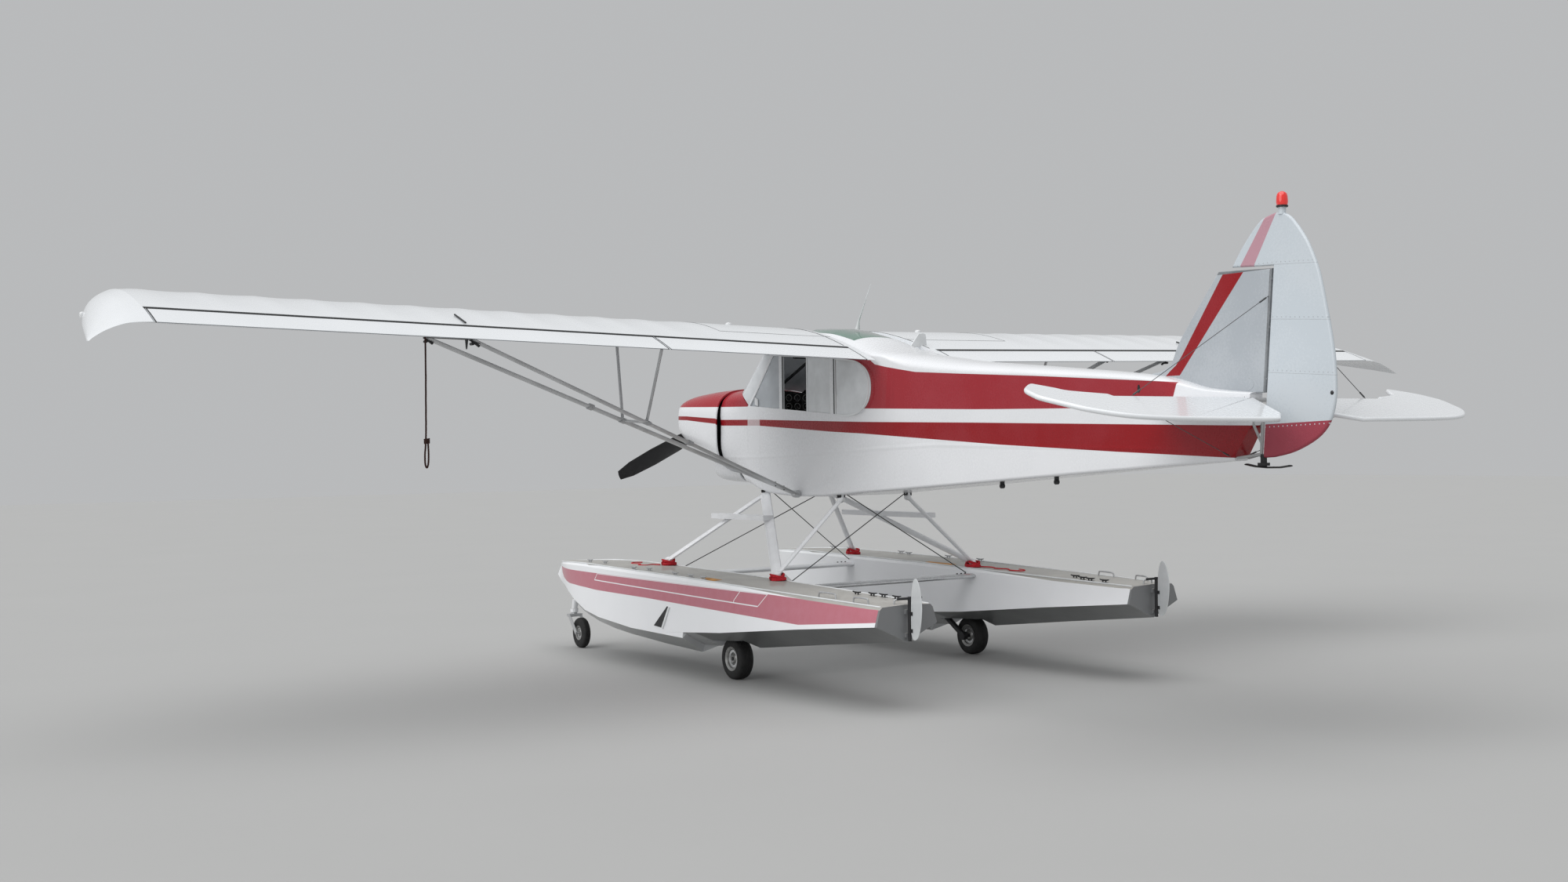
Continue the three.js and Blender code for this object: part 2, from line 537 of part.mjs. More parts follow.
// The tip droops outward and back to a thin lip. Columns: distance out, front, back, droop, swell.
const tipRings = [
  [5080, 8, CHORD, 0, 1],
  [5160, 36, CHORD, 0, 0.985],
  [5240, 105, CHORD, 0, 0.94],
  [5310, 225, 1604, 5, 0.8],
  [5370, 390, 1610, 14, 0.62],
  [5430, 690, 1620, 34, 0.42],
  [5490, 1050, 1634, 62, 0.23],
  [5545, 1420, 1654, 97, 0.09],
  [HALF_SPAN, 1620, 1675, 121, 0.04],
]
const wing = () => loft([[WING_ROOT.x], [4980], ...tipRings].map((row) => wingRing(...row)))
const hingeLine = (x) => [x, HINGE.y, wingLow(x, HINGE.y) + HINGE.up]
const behind = (x0, x1, radius) => join(
  bar(hingeLine(x0), hingeLine(x1), radius, 20),
  plate('x', [[HINGE.y, 2000], [CHORD + 100, 2000], [CHORD + 100, 3000], [HINGE.y, 3000]], x0, x1),
)
const wholeWing = wing()
const ROOT_END = WING_ROOT.x + 60
const panel = largest(wholeWing.subtract(behind(ROOT_END, AILERON_END, HINGE.cove)))
const surface = (x0, x1) => largest(wholeWing.intersect(behind(x0, x1, HINGE.nose)))
const flapPort = surface(ROOT_END + SURFACE_GAP, SPLIT - SURFACE_GAP / 2)
const aileronPort = surface(SPLIT + SURFACE_GAP / 2, AILERON_END - SURFACE_GAP)
const bracket = (x) => bar([x, HINGE.y - 60, hingeLine(x)[2]], [x, HINGE.y - HINGE.nose - 0.4, hingeLine(x)[2]], 8, 6)
const portWing = add('wing_port', join(panel, ...[694, 1244, 1844, 2294, 3594, 4894].map(bracket)), 'white')
add('wing_starboard', mirror(portWing), 'white')
add('flap_port', flapPort, 'white')
add('flap_starboard', mirror(flapPort), 'white')
add('aileron_port', aileronPort, 'white')
add('aileron_starboard', mirror(aileronPort), 'white')

// Lift struts: a front and a rear strut from one root, with jury struts up to the wing.
const strutRoot = [CABIN_HALF + LUG + GAP, STRUT_ROOT.y, STRUT_ROOT.z]
const underWing = (x, y) => [x, y, wingLow(x, y)]
const frontTop = underWing(3212, 270)
const rearTop = underWing(3178, 1030)
const along = (from, to, t) => from.map((v, k) => lerp(v, to[k], t))
const reach = (from, to, x) => along(from, to, (x - from[0]) / (to[0] - from[0]))
const juryFront = reach(strutRoot, frontTop, JURY_X)
const juryRear = reach(strutRoot, rearTop, JURY_X)
const liftStruts = join(
  bar(strutRoot, frontTop, 48, 10, 17),
  bar(strutRoot, rearTop, 40, 10, 15),
  ball(...strutRoot),
  bar(juryFront, underWing(1766, 270), 11, 8),
  bar(juryRear, underWing(1790, 1030), 11, 8),
  bar(juryFront, juryRear, 10, 8),
)
const cabinSide = block(-400, -400, 1300, CABIN_HALF + GAP, 1200, 2300)
const liftPort = largest(liftStruts.subtract(move(portWing, 0, 0, -GAP)).subtract(cabinSide))
add('lift_struts_port', liftPort, 'metal')
add('lift_struts_starboard', mirror(liftPort), 'metal')

// Floats. Columns: station of the deck point, centre height of the deck, half width of the deck,
// then station, height and half width of the chine, then station and height of the keel.
const foreRows = [
  [-2165, 737, 40, -2250, 585, 22, -2262, 556],
  [-2100, 742, 66, -2170, 568, 44, -2185, 508],
  [-2000, 747, 104, -2050, 558, 84, -2070, 440],
  [-1900, 752, 138, -1920, 552, 130, -1940, 376],
  [-1800, 757, 164, -1800, 534, 166, -1820, 328],
  [-1700, 762, 184, -1700, 516, 196, -1715, 300],
  [-1500, 768, 206, -1500, 458, 234, -1500, 255],
  [-1200, 771, 225, -1200, 392, 276, -1200, 218],
  [-900, 768, 236, -900, 358, 301, -900, 196],
  [-300, 759, 239, -300, 317, 310, -300, 168],
  [555, 746, 240, 555, 305, 310, 300, 152],
]
const aftRows = [
  [300, 752, 240, 300, 330, 309, 200, 205],
  [1100, 733, 236, 1100, 385, 300, 1100, 250],
  [2100, 709, 215, 2100, 485, 270, 2100, 360],
  [STERN, 688, 190, STERN + 6, 566, 239, STERN + 4, 455],
]
function hullRing([deckY, deckZ, deckHalf, chineY, chineZ, chineHalf, keelY, keelZ]) {
  const camber = 8
  const edge = deckHalf * 0.1
  const half = [[0, deckY, deckZ + camber], [deckHalf, deckY, deckZ], [deckHalf + edge, deckY, deckZ - edge],
    [chineHalf, chineY, chineZ]]
  const port = half.slice(1).reverse().map(([x, y, z]) => [-x, y, z])
  return [...half, [0, keelY, keelZ], ...port].map(([x, y, z]) => [x + FLOAT_X, y, z])
}
function hull() {
  const nose = [[-2208, 733, 14, BOW, 616, 8, BOW, 602]]
  const fore = loft([...nose, ...foreRows].map(hullRing))
  const aft = loft(aftRows.map(hullRing))
  let body = fore.add(aft)
  body = body.subtract(block(WELL.x0, WELL.y0, 0, WELL.x1, WELL.y1, WELL.top))
  const leg = join(
    bar([FLOAT_X, CASTER_Y + 30, 420], [FLOAT_X, CASTER_Y, 318 + GAP], 26, 12),
    bar([FLOAT_X, CASTER_Y, 330], [FLOAT_X, CASTER_Y, 300 + GAP], 34, 12),
  )
  const lugs = [500, 650].map((z) => block(FLOAT_X - 22, STERN - 10, z - 14, FLOAT_X + 22, 3024 - GAP, z + 14))
  return join(body, leg, ...lugs)
}
const floatPort = add('float_port', hull(), 'white')
const floatStarboard = add('float_starboard', mirror(floatPort), 'white')

// Float struts on each side: front leg, broad middle leg, rear leg and the boarding step between two.
const deckHeight = (y) => read([...foreRows.slice(0, -1), ...aftRows.slice(1)].map((r) => [r[0], r[1]]), y)
const bottomAt = (y) => read(fuselage, y, 2)
const frontTopLug = [FRONT_FITTING.x - 20, FRONT_FITTING.y, bottomAt(FRONT_FITTING.y) - LUG - GAP]
const rearTopLug = [REAR_FITTING.x - 20, REAR_FITTING.y, bottomAt(REAR_FITTING.y) - LUG - GAP]
const footLug = (foot) => [foot.x, foot.y, deckHeight(foot.y) + LUG + 14]
// A plank between two stations, STEP.x out from the centre line.
const plank = (y0, y1) => block(STEP.x - STEP.wide / 2, y0, STEP.z - STEP.thick, STEP.x + STEP.wide / 2, y1, STEP.z)
function struts(y0, y1) {
  const a = footLug(FRONT_FOOT)
  const b = footLug(REAR_FOOT)
  const legs = join(
    bar(frontTopLug, a, 30, 10, 15),
    bar(frontTopLug, b, 46, 10, 17),
    bar(rearTopLug, b, 26, 10, 13),
    plank(y0, y1),
  )
  const pads = [[frontTopLug, 1], [rearTopLug, 1], [a, -1], [b, -1]].map(([p, side]) =>
    bar(p, [p[0], p[1], p[2] + side * 70], 24, 8))
  const whole = join(legs, ...pads, ...[frontTopLug, rearTopLug, a, b].map((p) => ball(...p)))
  const onFloat = whole.subtract(move(floatPort, 0, 0, GAP)).subtract(floatPort)
  return largest(onFloat.subtract(move(cabinShell, 0, 0, -GAP)).subtract(cabinShell))
}
const strutsPort = struts(-440, 388)
add('float_struts_port', strutsPort, 'metal')
const strutsStarboard = add('float_struts_starboard', mirror(struts(-168, 1044)), 'metal')

// Spreader bars between the floats, and the crossed stay wires.
for (const [name, y, z] of [['spreader_front', -528, 688], ['spreader_rear', 1195, 676]]) {
  const beam = bar([-1000, y, z], [1000, y, z], 62, 12, 20)
  const trimmed = beam.subtract(move(floatPort, -GAP, 0, 0)).subtract(move(floatStarboard, GAP, 0, 0))
  add(name, largest(trimmed), 'metal')
}
const flip = ([x, y, z]) => [-x, y, z]
const stayTop = (y) => [STAY.top, y, bottomAt(y) - GAP]
const stayFoot = (y) => [STAY.foot, y, deckHeight(y) - STAY.below]
// Each pair of crossed wires: name, station of its top ends, station of its lower ends.
for (const [name, topY, footY] of [['stays_front', -20, -570], ['stays_rear', 1090, 1120]]) {
  const top = stayTop(topY)
  const foot = stayFoot(footY)
  const crossed = join(bar(top, flip(foot), 4, 6), bar(flip(top), foot, 4, 6))
  add(name, clearOf(crossed, floatPort, floatStarboard, cabinShell, strutsPort, strutsStarboard), 'dark')
}

// Main wheels on trailing arms, bow wheels in castering forks.
function wheel({ x, y, radius, rim, width, bore }, segments) {
  const w = width / 2
  // Columns: radius, distance from the middle of the tyre.
  const side = [
    [bore, w * 0.7], [rim, w * 0.7], [rim, w * 0.86],
    [radius * 0.76, w], [radius * 0.92, w * 0.9], [radius, w * 0.56],
  ]
  const profile = [...side.map(([r, h]) => [r, -h]), ...side.slice().reverse(), [bore, -w * 0.7]]
  return turned(profile, x, y, radius, segments)
}
const mainWheel = wheel(MAIN_WHEEL, 22)
add('main_wheel_port', mainWheel, 'rubber')
add('main_wheel_starboard', mirror(mainWheel), 'rubber')
const armX = MAIN_WHEEL.x - MAIN_WHEEL.width / 2 - 34
const AXLE_SLACK = 0.6
const onAxle = (x) => [x, MAIN_WHEEL.y, MAIN_WHEEL.radius]
const mainLeg = join(
  bar([armX, 612, 300], onAxle(armX), 26, 10, 20),
  bar(onAxle(armX), onAxle(MAIN_WHEEL.x + 46), MAIN_WHEEL.bore - AXLE_SLACK, 12),
  bar(onAxle(armX - 22), onAxle(armX + 22), 34, 12),
  bar([WELL.x0 + GAP, 640, 310], [WELL.x1 - GAP, 640, 310], 22, 10),
  bar([armX, 640, 310], [armX, 760, WELL.top - GAP], 18, 8),
)
const wellFront = block(WELL.x0 - 100, 400, 0, WELL.x1 + 100, WELL.y0 + GAP, 800)
const wellRoof = block(900, 600, WELL.top - GAP, 1300, 1200, 800)
const legSolid = largest(mainLeg.subtract(wellFront).subtract(wellRoof))
add('main_leg_port', legSolid, 'metal')
add('main_leg_starboard', mirror(legSolid), 'metal')
const bowWheel = wheel(BOW_WHEEL, 18)
add('bow_wheel_port', bowWheel, 'rubber')
add('bow_wheel_starboard', mirror(bowWheel), 'rubber')
const hubEnd = (dx) => [FLOAT_X + dx, BOW_WHEEL.y, BOW_WHEEL.radius]
const prong = (dx) => bar([FLOAT_X + dx, CASTER_Y + 10, 272], hubEnd(dx), 22, 8, 7)
const fork = join(
  prong(52),
  prong(-52),
  block(FLOAT_X - 59, CASTER_Y - 30, 262, FLOAT_X + 59, CASTER_Y + 34, 286),
  bar([FLOAT_X, CASTER_Y, 270], [FLOAT_X, CASTER_Y, 300], 26, 12),
  bar(hubEnd(-60), hubEnd(60), BOW_WHEEL.bore - AXLE_SLACK, 12),
)
add('bow_fork_port', fork, 'metal')
add('bow_fork_starboard', mirror(fork), 'metal')

// Water rudders hang behind the sterns on upright posts, with a tiller bar on top.
const postY = 3024 + 12
const waterRudder = join(
  bar([FLOAT_X, postY, 462], [FLOAT_X, postY, 748], 12, 12),
  plate('x', [[postY, 500], [postY + 60, 470], [postY + 105, 478], [postY + 132, 560], [postY + 138, 680],
    [postY + 112, 800], [postY + 78, 868], [postY + 48, 868], [postY + 30, 790], [postY, 720]], FLOAT_X - 4, FLOAT_X + 4),
  bar([FLOAT_X - 95, postY, 738], [FLOAT_X + 95, postY, 738], 8, 8),
)
add('water_rudder_port', waterRudder, 'white')
add('water_rudder_starboard', mirror(waterRudder), 'white')

// Whip aerial on the roof, and the tie-down rope that hangs from the port rear strut's head.
const antennaFoot = bar([0, 858, read(fuselage, 858, 4) - 2.2], [0, 878, 2700], 16, 8, 7)
const antenna = antennaFoot.add(bar([0, 876, 2690], [0, 1048, 2972], 7, 8, 3))
add('antenna', antenna.subtract(move(skylight, 0, 0, GAP)).subtract(skylight), 'white')
const ropeTop = [3478, 1000, wingLow(3478, 1000) - GAP]
const ropePath = [ropeTop, [3478, 1000, 2250], [3480, 1001, 2050], [3481, 1000, 1860], [3485, 1000, 1760],
  [3490, 1000, 1700], [3489, 1000, 1640], [3479, 1000, 1614], [3469, 1000, 1638], [3466, 1000, 1700],
  [3468, 1000, 1760], [3469, 1000, 1775]]
const ropeCurve = new THREE.CatmullRomCurve3(ropePath.map((p) => new THREE.Vector3(...p)), false, 'centripetal')
const ropeSection = new THREE.Shape(Array.from({ length: 8 }, (_, i) => {
  const a = (2 * Math.PI * i) / 8
  return new THREE.Vector2(6 * Math.cos(a), 6 * Math.sin(a))
}))
const rope = new THREE.ExtrudeGeometry(ropeSection, { steps: 26, bevelEnabled: false, extrudePath: ropeCurve })
rope.deleteAttribute('normal')
rope.deleteAttribute('uv')
const ropeSolid = outward(mergeVertices(rope, 1e-3))
add('tie_down_rope', ropeSolid.subtract(move(portWing, 0, 0, -GAP)).subtract(liftPort), 'rope')

export default group
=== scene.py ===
"""Looks of a two-seat floatplane on amphibious floats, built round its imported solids.

Metres. +X is to port, -Y is ahead, +Z is up and the ground is z = 0. Stations are measured aft from
the wing's leading edge, as a rigger does, and at() turns them into the frame's own Y.
"""

from __future__ import annotations

import json
import logging
from collections.abc import Callable, Iterable, Sequence
from dataclasses import dataclass, field
from enum import Enum
from itertools import pairwise
from math import atan2, ceil, cos, hypot, pi, radians, sin, sqrt, tau

import bmesh
import bpy
from mathutils import Matrix, Vector

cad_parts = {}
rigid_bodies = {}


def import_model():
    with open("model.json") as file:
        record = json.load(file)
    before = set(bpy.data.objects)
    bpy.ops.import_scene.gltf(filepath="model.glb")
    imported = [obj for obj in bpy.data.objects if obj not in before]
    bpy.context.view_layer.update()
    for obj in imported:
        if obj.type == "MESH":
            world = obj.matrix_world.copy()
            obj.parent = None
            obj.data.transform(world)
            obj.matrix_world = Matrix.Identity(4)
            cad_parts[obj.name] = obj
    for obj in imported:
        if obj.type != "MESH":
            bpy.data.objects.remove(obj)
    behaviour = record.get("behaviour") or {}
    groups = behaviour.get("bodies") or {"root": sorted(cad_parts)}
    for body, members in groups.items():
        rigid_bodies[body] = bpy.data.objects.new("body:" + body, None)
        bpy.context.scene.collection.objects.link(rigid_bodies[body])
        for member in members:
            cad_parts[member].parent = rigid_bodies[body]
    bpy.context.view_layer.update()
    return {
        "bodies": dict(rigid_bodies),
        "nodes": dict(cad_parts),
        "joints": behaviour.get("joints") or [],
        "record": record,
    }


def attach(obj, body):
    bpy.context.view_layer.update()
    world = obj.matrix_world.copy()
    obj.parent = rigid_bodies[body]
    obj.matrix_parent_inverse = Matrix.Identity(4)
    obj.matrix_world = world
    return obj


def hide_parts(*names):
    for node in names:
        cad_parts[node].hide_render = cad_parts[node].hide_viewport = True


LOG = logging.getLogger("floatplane")

# Where the frame's origin lies, aft of the wing's leading edge.
MID = 1.6425

# The photograph's size in pixels, and what was measured of its camera there.
PHOTO_WIDE = 2000
PHOTO_HIGH = 1125
FOCAL_PIXELS = 2164.1
PRINCIPAL_COLUMN = 1242.2
HORIZON_ROW = 568.39
SENSOR_MM = 36.0
CAMERA_STATION = (7.433, 11.898, 1.712)
CAMERA_TURN = -2.4815
CAMERA_ROLL = 0.0129

Point = tuple[float, float, float]
Outline = list[tuple[float, float]]


def at(x: float, station: float, z: float) -> Vector:
    """The frame's point for a distance to port, a station and a height."""
    return Vector((x, station - MID, z))


def lerp(a: float, b: float, t: float) -> float:
    """The value a share t of the way from a to b."""
    return a + (b - a) * t


def read(table: Sequence[Sequence[float]], key: float, column: int = 1) -> float:
    """Reads a table of rows sorted by their first column, by straight lines.

    Args:
        table: Rows whose first column rises.
        key: The value looked up in the first column.
        column: The column that is read.

    Returns:
        The value at the key, held at the table's ends.
    """
    if key <= table[0][0]:
        return table[0][column]
    for low, high in pairwise(table):
        if key <= high[0]:
            return lerp(low[column], high[column], (key - low[0]) / (high[0] - low[0]))
    return table[-1][column]


def glide(table: Sequence[Sequence[float]], key: float, column: int = 1) -> float:
    """Reads a table of rows sorted by their first column, by a smooth line that makes no waves of its own.

    Args:
        table: Rows whose first column rises.
        key: The value looked up in the first column.
        column: The column that is read.

    Returns:
        The value at the key, held at the table's ends.
    """
    last = len(table) - 1
    i = min(max(sum(row[0] <= key for row in table) - 1, 0), last - 1)
    steps = [(b[column] - a[column]) / (b[0] - a[0]) for a, b in pairwise(table)]
    wide = table[i + 1][0] - table[i][0]
    t = min(max((key - table[i][0]) / wide, 0.0), 1.0)
    slopes = []
    for k in (i, i + 1):
        before, after = steps[max(k - 1, 0)], steps[min(k, last - 1)]
        slopes.append(2 * before * after / (before + after) if before * after > 0 else 0.0)
    value = table[i][column] * (1 + 2 * t) * (1 - t) ** 2 + table[i + 1][column] * t * t * (3 - 2 * t)
    return value + wide * t * (1 - t) * (slopes[0] * (1 - t) - slopes[1] * t)


def smooth_run(points: Sequence[Sequence[float]], steps: int) -> list[list[float]]:
    """A smooth line through points, the same points among it.

    Args:
        points: Two or more points, of any number of coordinates.
        steps: How many stretches each pair of points is cut into.

    Returns:
        The finer list of points.
    """
    fine: list[list[float]] = []
    last = len(points) - 1
    for i in range(last):
        p0, p1, p2, p3 = points[max(i - 1, 0)], points[i], points[i + 1], points[min(i + 2, last)]
        for k in range(steps):
            t = k / steps
            fine.append([
                0.5 * (2 * b + (c - a) * t + (2 * a - 5 * b + 4 * c - d) * t * t
                       + (3 * b - a - 3 * c + d) * t**3)
                for a, b, c, d in zip(p0, p1, p2, p3)
            ])
    fine.append(list(points[last]))
    return fine


class Slot(Enum):
    """The record's material slots."""

    WHITE = "white_paint"
    FLOAT = "float_metal"
    STRUT = "strut_metal"
    TUBE = "tail_tube"
    DARK = "dark_metal"
    BLADE = "blade_black"
    TYRE = "tyre_rubber"
    GLASS = "clear_glass"
    GREEN = "green_glass"
    SEAT = "seat_fabric"
    ROPE = "tie_rope"
    LENS = "red_lens"
    PLASTIC = "white_plastic"


class Side(Enum):
    """The two sides of the aeroplane, as the sign of X."""

    PORT = 1
    STARBOARD = -1

    @property
    def word(self) -> str:
        """The side's name as the nodes spell it."""
        return self.name.lower()


# Colours as the renderer holds them, in linear light.
WHITE = (0.8, 0.81, 0.83, 1.0)
SHADE_WHITE = (0.68, 0.7, 0.72, 1.0)
RED = (0.28, 0.005, 0.009, 1.0)
# Red lightened with painted sheen, for the upper band and the nose, where the glossy paint faces the sky.
SHEEN_UPPER_RED = (0.34, 0.022, 0.032, 1.0)
HULL_WHITE = (0.87, 0.88, 0.9, 1.0)
FADED_RED = (0.48, 0.13, 0.17, 1.0)
PINK_RED = (0.52, 0.19, 0.24, 1.0)
HULL_GREY = (0.115, 0.12, 0.12, 1.0)
# Paler grey for the forward bottom: partly its own paler paint, partly painted light against the shade under
# the bow.
BOW_GREY_AND_PAINTED_LIGHT = (0.46, 0.47, 0.47, 1.0)
# Hull grey lightened with painted light, for the stern's faces.
LIT_STERN_GREY = (0.19, 0.195, 0.2, 1.0)
DECK_GREY = (0.34, 0.33, 0.31, 1.0)
SEAM_GREY = (0.35, 0.37, 0.38, 1.0)
# White greyed with painted shade, for the fin.
SHADED_FIN_WHITE = (0.4, 0.43, 0.46, 1.0)
# Painted shade in the rudder's hinge gap and along the fin's top edge.
HINGE_GAP_SHADE = (0.13, 0.14, 0.15, 1.0)
FOOT_RED = (0.34, 0.05, 0.075, 1.0)
HORN_PINK = (0.5, 0.28, 0.33, 1.0)
# White greyed with painted shade, for the rudder.
SHADED_RUDDER_WHITE = (0.56, 0.61, 0.65, 1.0)
CLOTH_WHITE = (0.82, 0.84, 0.86, 1.0)
WORN_HULL = (0.16, 0.165, 0.165, 1.0)
WORN_DECK = (0.41, 0.4, 0.37, 1.0)


class Socket:
    """One output of a node, on which arithmetic makes Math nodes."""

    def __init__(self, graph: Graph, output: bpy.types.NodeSocket) -> None:
        """Keeps the output and the graph that it belongs to."""
        self.graph = graph
        self.output = output

    def _math(self, operation: str, first: Socket | float, second: Socket | float) -> Socket:
        """A Math node of two values."""
        return self.graph.node("ShaderNodeMath", {"operation": operation}, {0: first, 1: second})

    def __add__(self, other: Socket | float) -> Socket:
        """This value plus another."""
        return self._math("ADD", self, other)

    def __radd__(self, other: float) -> Socket:
        """A number plus this value."""
        return self._math("ADD", other, self)

    def __sub__(self, other: Socket | float) -> Socket:
        """This value minus another."""
        return self._math("SUBTRACT", self, other)

    def __rsub__(self, other: float) -> Socket:
        """A number minus this value."""
        return self._math("SUBTRACT", other, self)

    def __mul__(self, other: Socket | float) -> Socket:
        """This value times another."""
        return self._math("MULTIPLY", self, other)

    def __rmul__(self, other: float) -> Socket:
        """A number times this value."""
        return self._math("MULTIPLY", other, self)

    def __truediv__(self, other: Socket | float) -> Socket:
        """This value over another."""
        return self._math("DIVIDE", self, other)

    def most(self, other: Socket | float) -> Socket:
        """The larger of this value and another."""
        return self._math("MAXIMUM", self, other)

    def size(self) -> Socket:
        """This value without its sign."""
        return self._math("ABSOLUTE", self, 0.0)

    def cycle(self, length: float) -> Socket:
        """This value wrapped to 0..length."""
        return self._math("FLOORED_MODULO", self, length)


class Graph:
    """The node graph of one finish."""

    def __init__(self, name: str) -> None:
        """Makes an empty material of that name.

        Args:
            name: The material's name.
        """
        self.material = bpy.data.materials.new(name)
        self.material.use_nodes = True
        self.tree = self.material.node_tree
        self.tree.nodes.clear()
        self.place = self.node("ShaderNodeTexCoord", output="Object")
        parts = self.node("ShaderNodeSeparateXYZ", inputs={0: self.place})
        outputs = parts.output.node.outputs
        self.across = Socket(self, outputs[0])
        self.station = Socket(self, outputs[1]) + MID
        self.height = Socket(self, outputs[2])

    def node(
        self,
        kind: str,
        settings: dict[str, object] | None = None,
        inputs: dict[int | str, object] | None = None,
        output: int | str = 0,
    ) -> Socket:
        """Makes any node.

        Args:
            kind: The node's type.
            settings: Its own settings, set first; "stops" gives a ramp's places and colours.
            inputs: Values or links of its sockets, by index or name.
            output: The output that is handed back.

        Returns:
            The chosen output.
        """
        made = self.tree.nodes.new(kind)
        for key, value in (settings or {}).items():
            if key == "stops":
                ramp = made.color_ramp
                for spot, colour in value[2:]:
                    ramp.elements.new(spot).color = colour
                for element, (spot, colour) in zip(ramp.elements, sorted(value)):
                    element.position = spot
                    element.color = colour
            else:
                setattr(made, key, value)
        for key, value in (inputs or {}).items():
            if isinstance(value, Socket):
                self.tree.links.new(value.output, made.inputs[key])
            else:
                made.inputs[key].default_value = value
        return Socket(self, made.outputs[output])

    def remap(self, value: Socket, low: float, high: float, to_low: float = 0.0,
              to_high: float = 1.0) -> Socket:
        """A value moved from one range to another, and held at its ends."""
        return self.node("ShaderNodeMapRange", {"clamp": True},
                         {0: value, 1: low, 2: high, 3: to_low, 4: to_high})

    def edge(self, value: Socket, soft: float = 0.002) -> Socket:
        """1 where a length in metres is above 0, and 0 below it, with a soft rim."""
        return self.remap(value, -soft / 2, soft / 2)

    def course(self, along: Socket, points: Sequence[tuple[float, float]]) -> Socket:
        """A line of straight runs: its height at each place along it.

        Args:
            along: What the line runs along.
            points: The line's corners, as places along it and heights.

        Returns:
            The height of the line.
        """
        total: Socket | float = points[0][1]
        for (a, low), (b, high) in pairwise(points):
            total = self.remap(along, a, b, 0.0, high - low) + total
        return total

    def band(self, value: Socket, low: Socket | float, high: Socket | float, soft: float = 0.002) -> Socket:
        """1 where a value lies between two others."""
        return self.edge(value - low, soft) * self.edge(high - value, soft)

    def noise(self, scale: float, detail: float = 4.0, rough: float = 0.55,
              place: Socket | None = None) -> Socket:
        """Even noise from 0 to 1."""
        spot = self.place if place is None else place
        return self.node("ShaderNodeTexNoise", inputs={"Vector": spot, "Scale": scale, "Detail": detail,
                                                       "Roughness": rough})

    def facing(self) -> Socket:
        """How far the face looks up, from -1 to 1."""
        normal = self.node("ShaderNodeNewGeometry", output="True Normal")
        return self.node("ShaderNodeSeparateXYZ", inputs={0: normal}, output=2)

    def blend(self, share: Socket | float, first: object, second: object) -> Socket:
        """A colour between two others."""
        return self.node("ShaderNodeMix", {"data_type": "RGBA"}, {0: share, 6: first, 7: second}, output=2)

    def bump(self, height: Socket, distance: float, strength: float = 1.0) -> Socket:
        """A bumped normal; distance is the height in metres that 1 stands for."""
        inputs = {"Height": height, "Distance": distance, "Strength": strength}
        return self.node("ShaderNodeBump", inputs=inputs, output="Normal")

    def close(self, colour: object, roughness: object, fixed: dict[str, object] | None = None,
              varied: dict[str, Socket] | None = None) -> bpy.types.Material:
        """Ends the graph in a Principled shader.

        Args:
            colour: The base colour, plain or linked.
            roughness: The roughness, plain or linked.
            fixed: Other uniform values of the shader's sockets.
            varied: Links to its other sockets.

        Returns:
            The finished material.
        """
        inputs = {"Base Color": colour, "Roughness": roughness, **(fixed or {}), **(varied or {})}
        shader = self.node("ShaderNodeBsdfPrincipled", inputs=inputs)
        end = self.tree.nodes.new("ShaderNodeOutputMaterial")
        self.tree.links.new(shader.output, end.inputs["Surface"])
        return self.material


@dataclass(frozen=True)
class Finish:
    """A finish that is the same kind of surface all over, with the wear of its own scale."""

    name: str
    slot: Slot
    colour: tuple[float, float, float, float]
    roughness: float
    metallic: float = 0.0
    coat: float = 0.0
    blotch: float = 0.18
    blotch_scale: float = 5.0
    grain: float = 0.0
    grain_scale: float = 400.0
    alpha: float = 1.0
    glow: float = 0.0

    def build(self) -> bpy.types.Material:
        """Makes the material, with blotches in its colour and gloss and a grain in its bump.

        Returns:
            The finished material.
        """
        graph = Graph(self.name)
        cloud = graph.noise(self.blotch_scale)
        darker = tuple(c * (1 - self.blotch) for c in self.colour[:3]) + (1.0,)
        colour = graph.blend(graph.remap(cloud, 0.35, 0.7), self.colour, darker)
        fine = graph.noise(self.grain_scale, 3.0)
        roughness = graph.remap(cloud * 0.6 + fine * 0.4, 0.3, 0.7, self.roughness * 0.85,
                                self.roughness * 1.15)
        fixed: dict[str, object] = {"Metallic": self.metallic, "Coat Weight": self.coat,
                                    "Coat Roughness": 0.06}
        if self.alpha < 1:
            fixed["Alpha"] = self.alpha
        if self.glow:
            fixed["Emission Color"] = self.colour
            fixed["Emission Strength"] = self.glow
        varied = {"Normal": graph.bump(fine, self.grain)} if self.grain else None
        return graph.close(colour, roughness, fixed, varied)


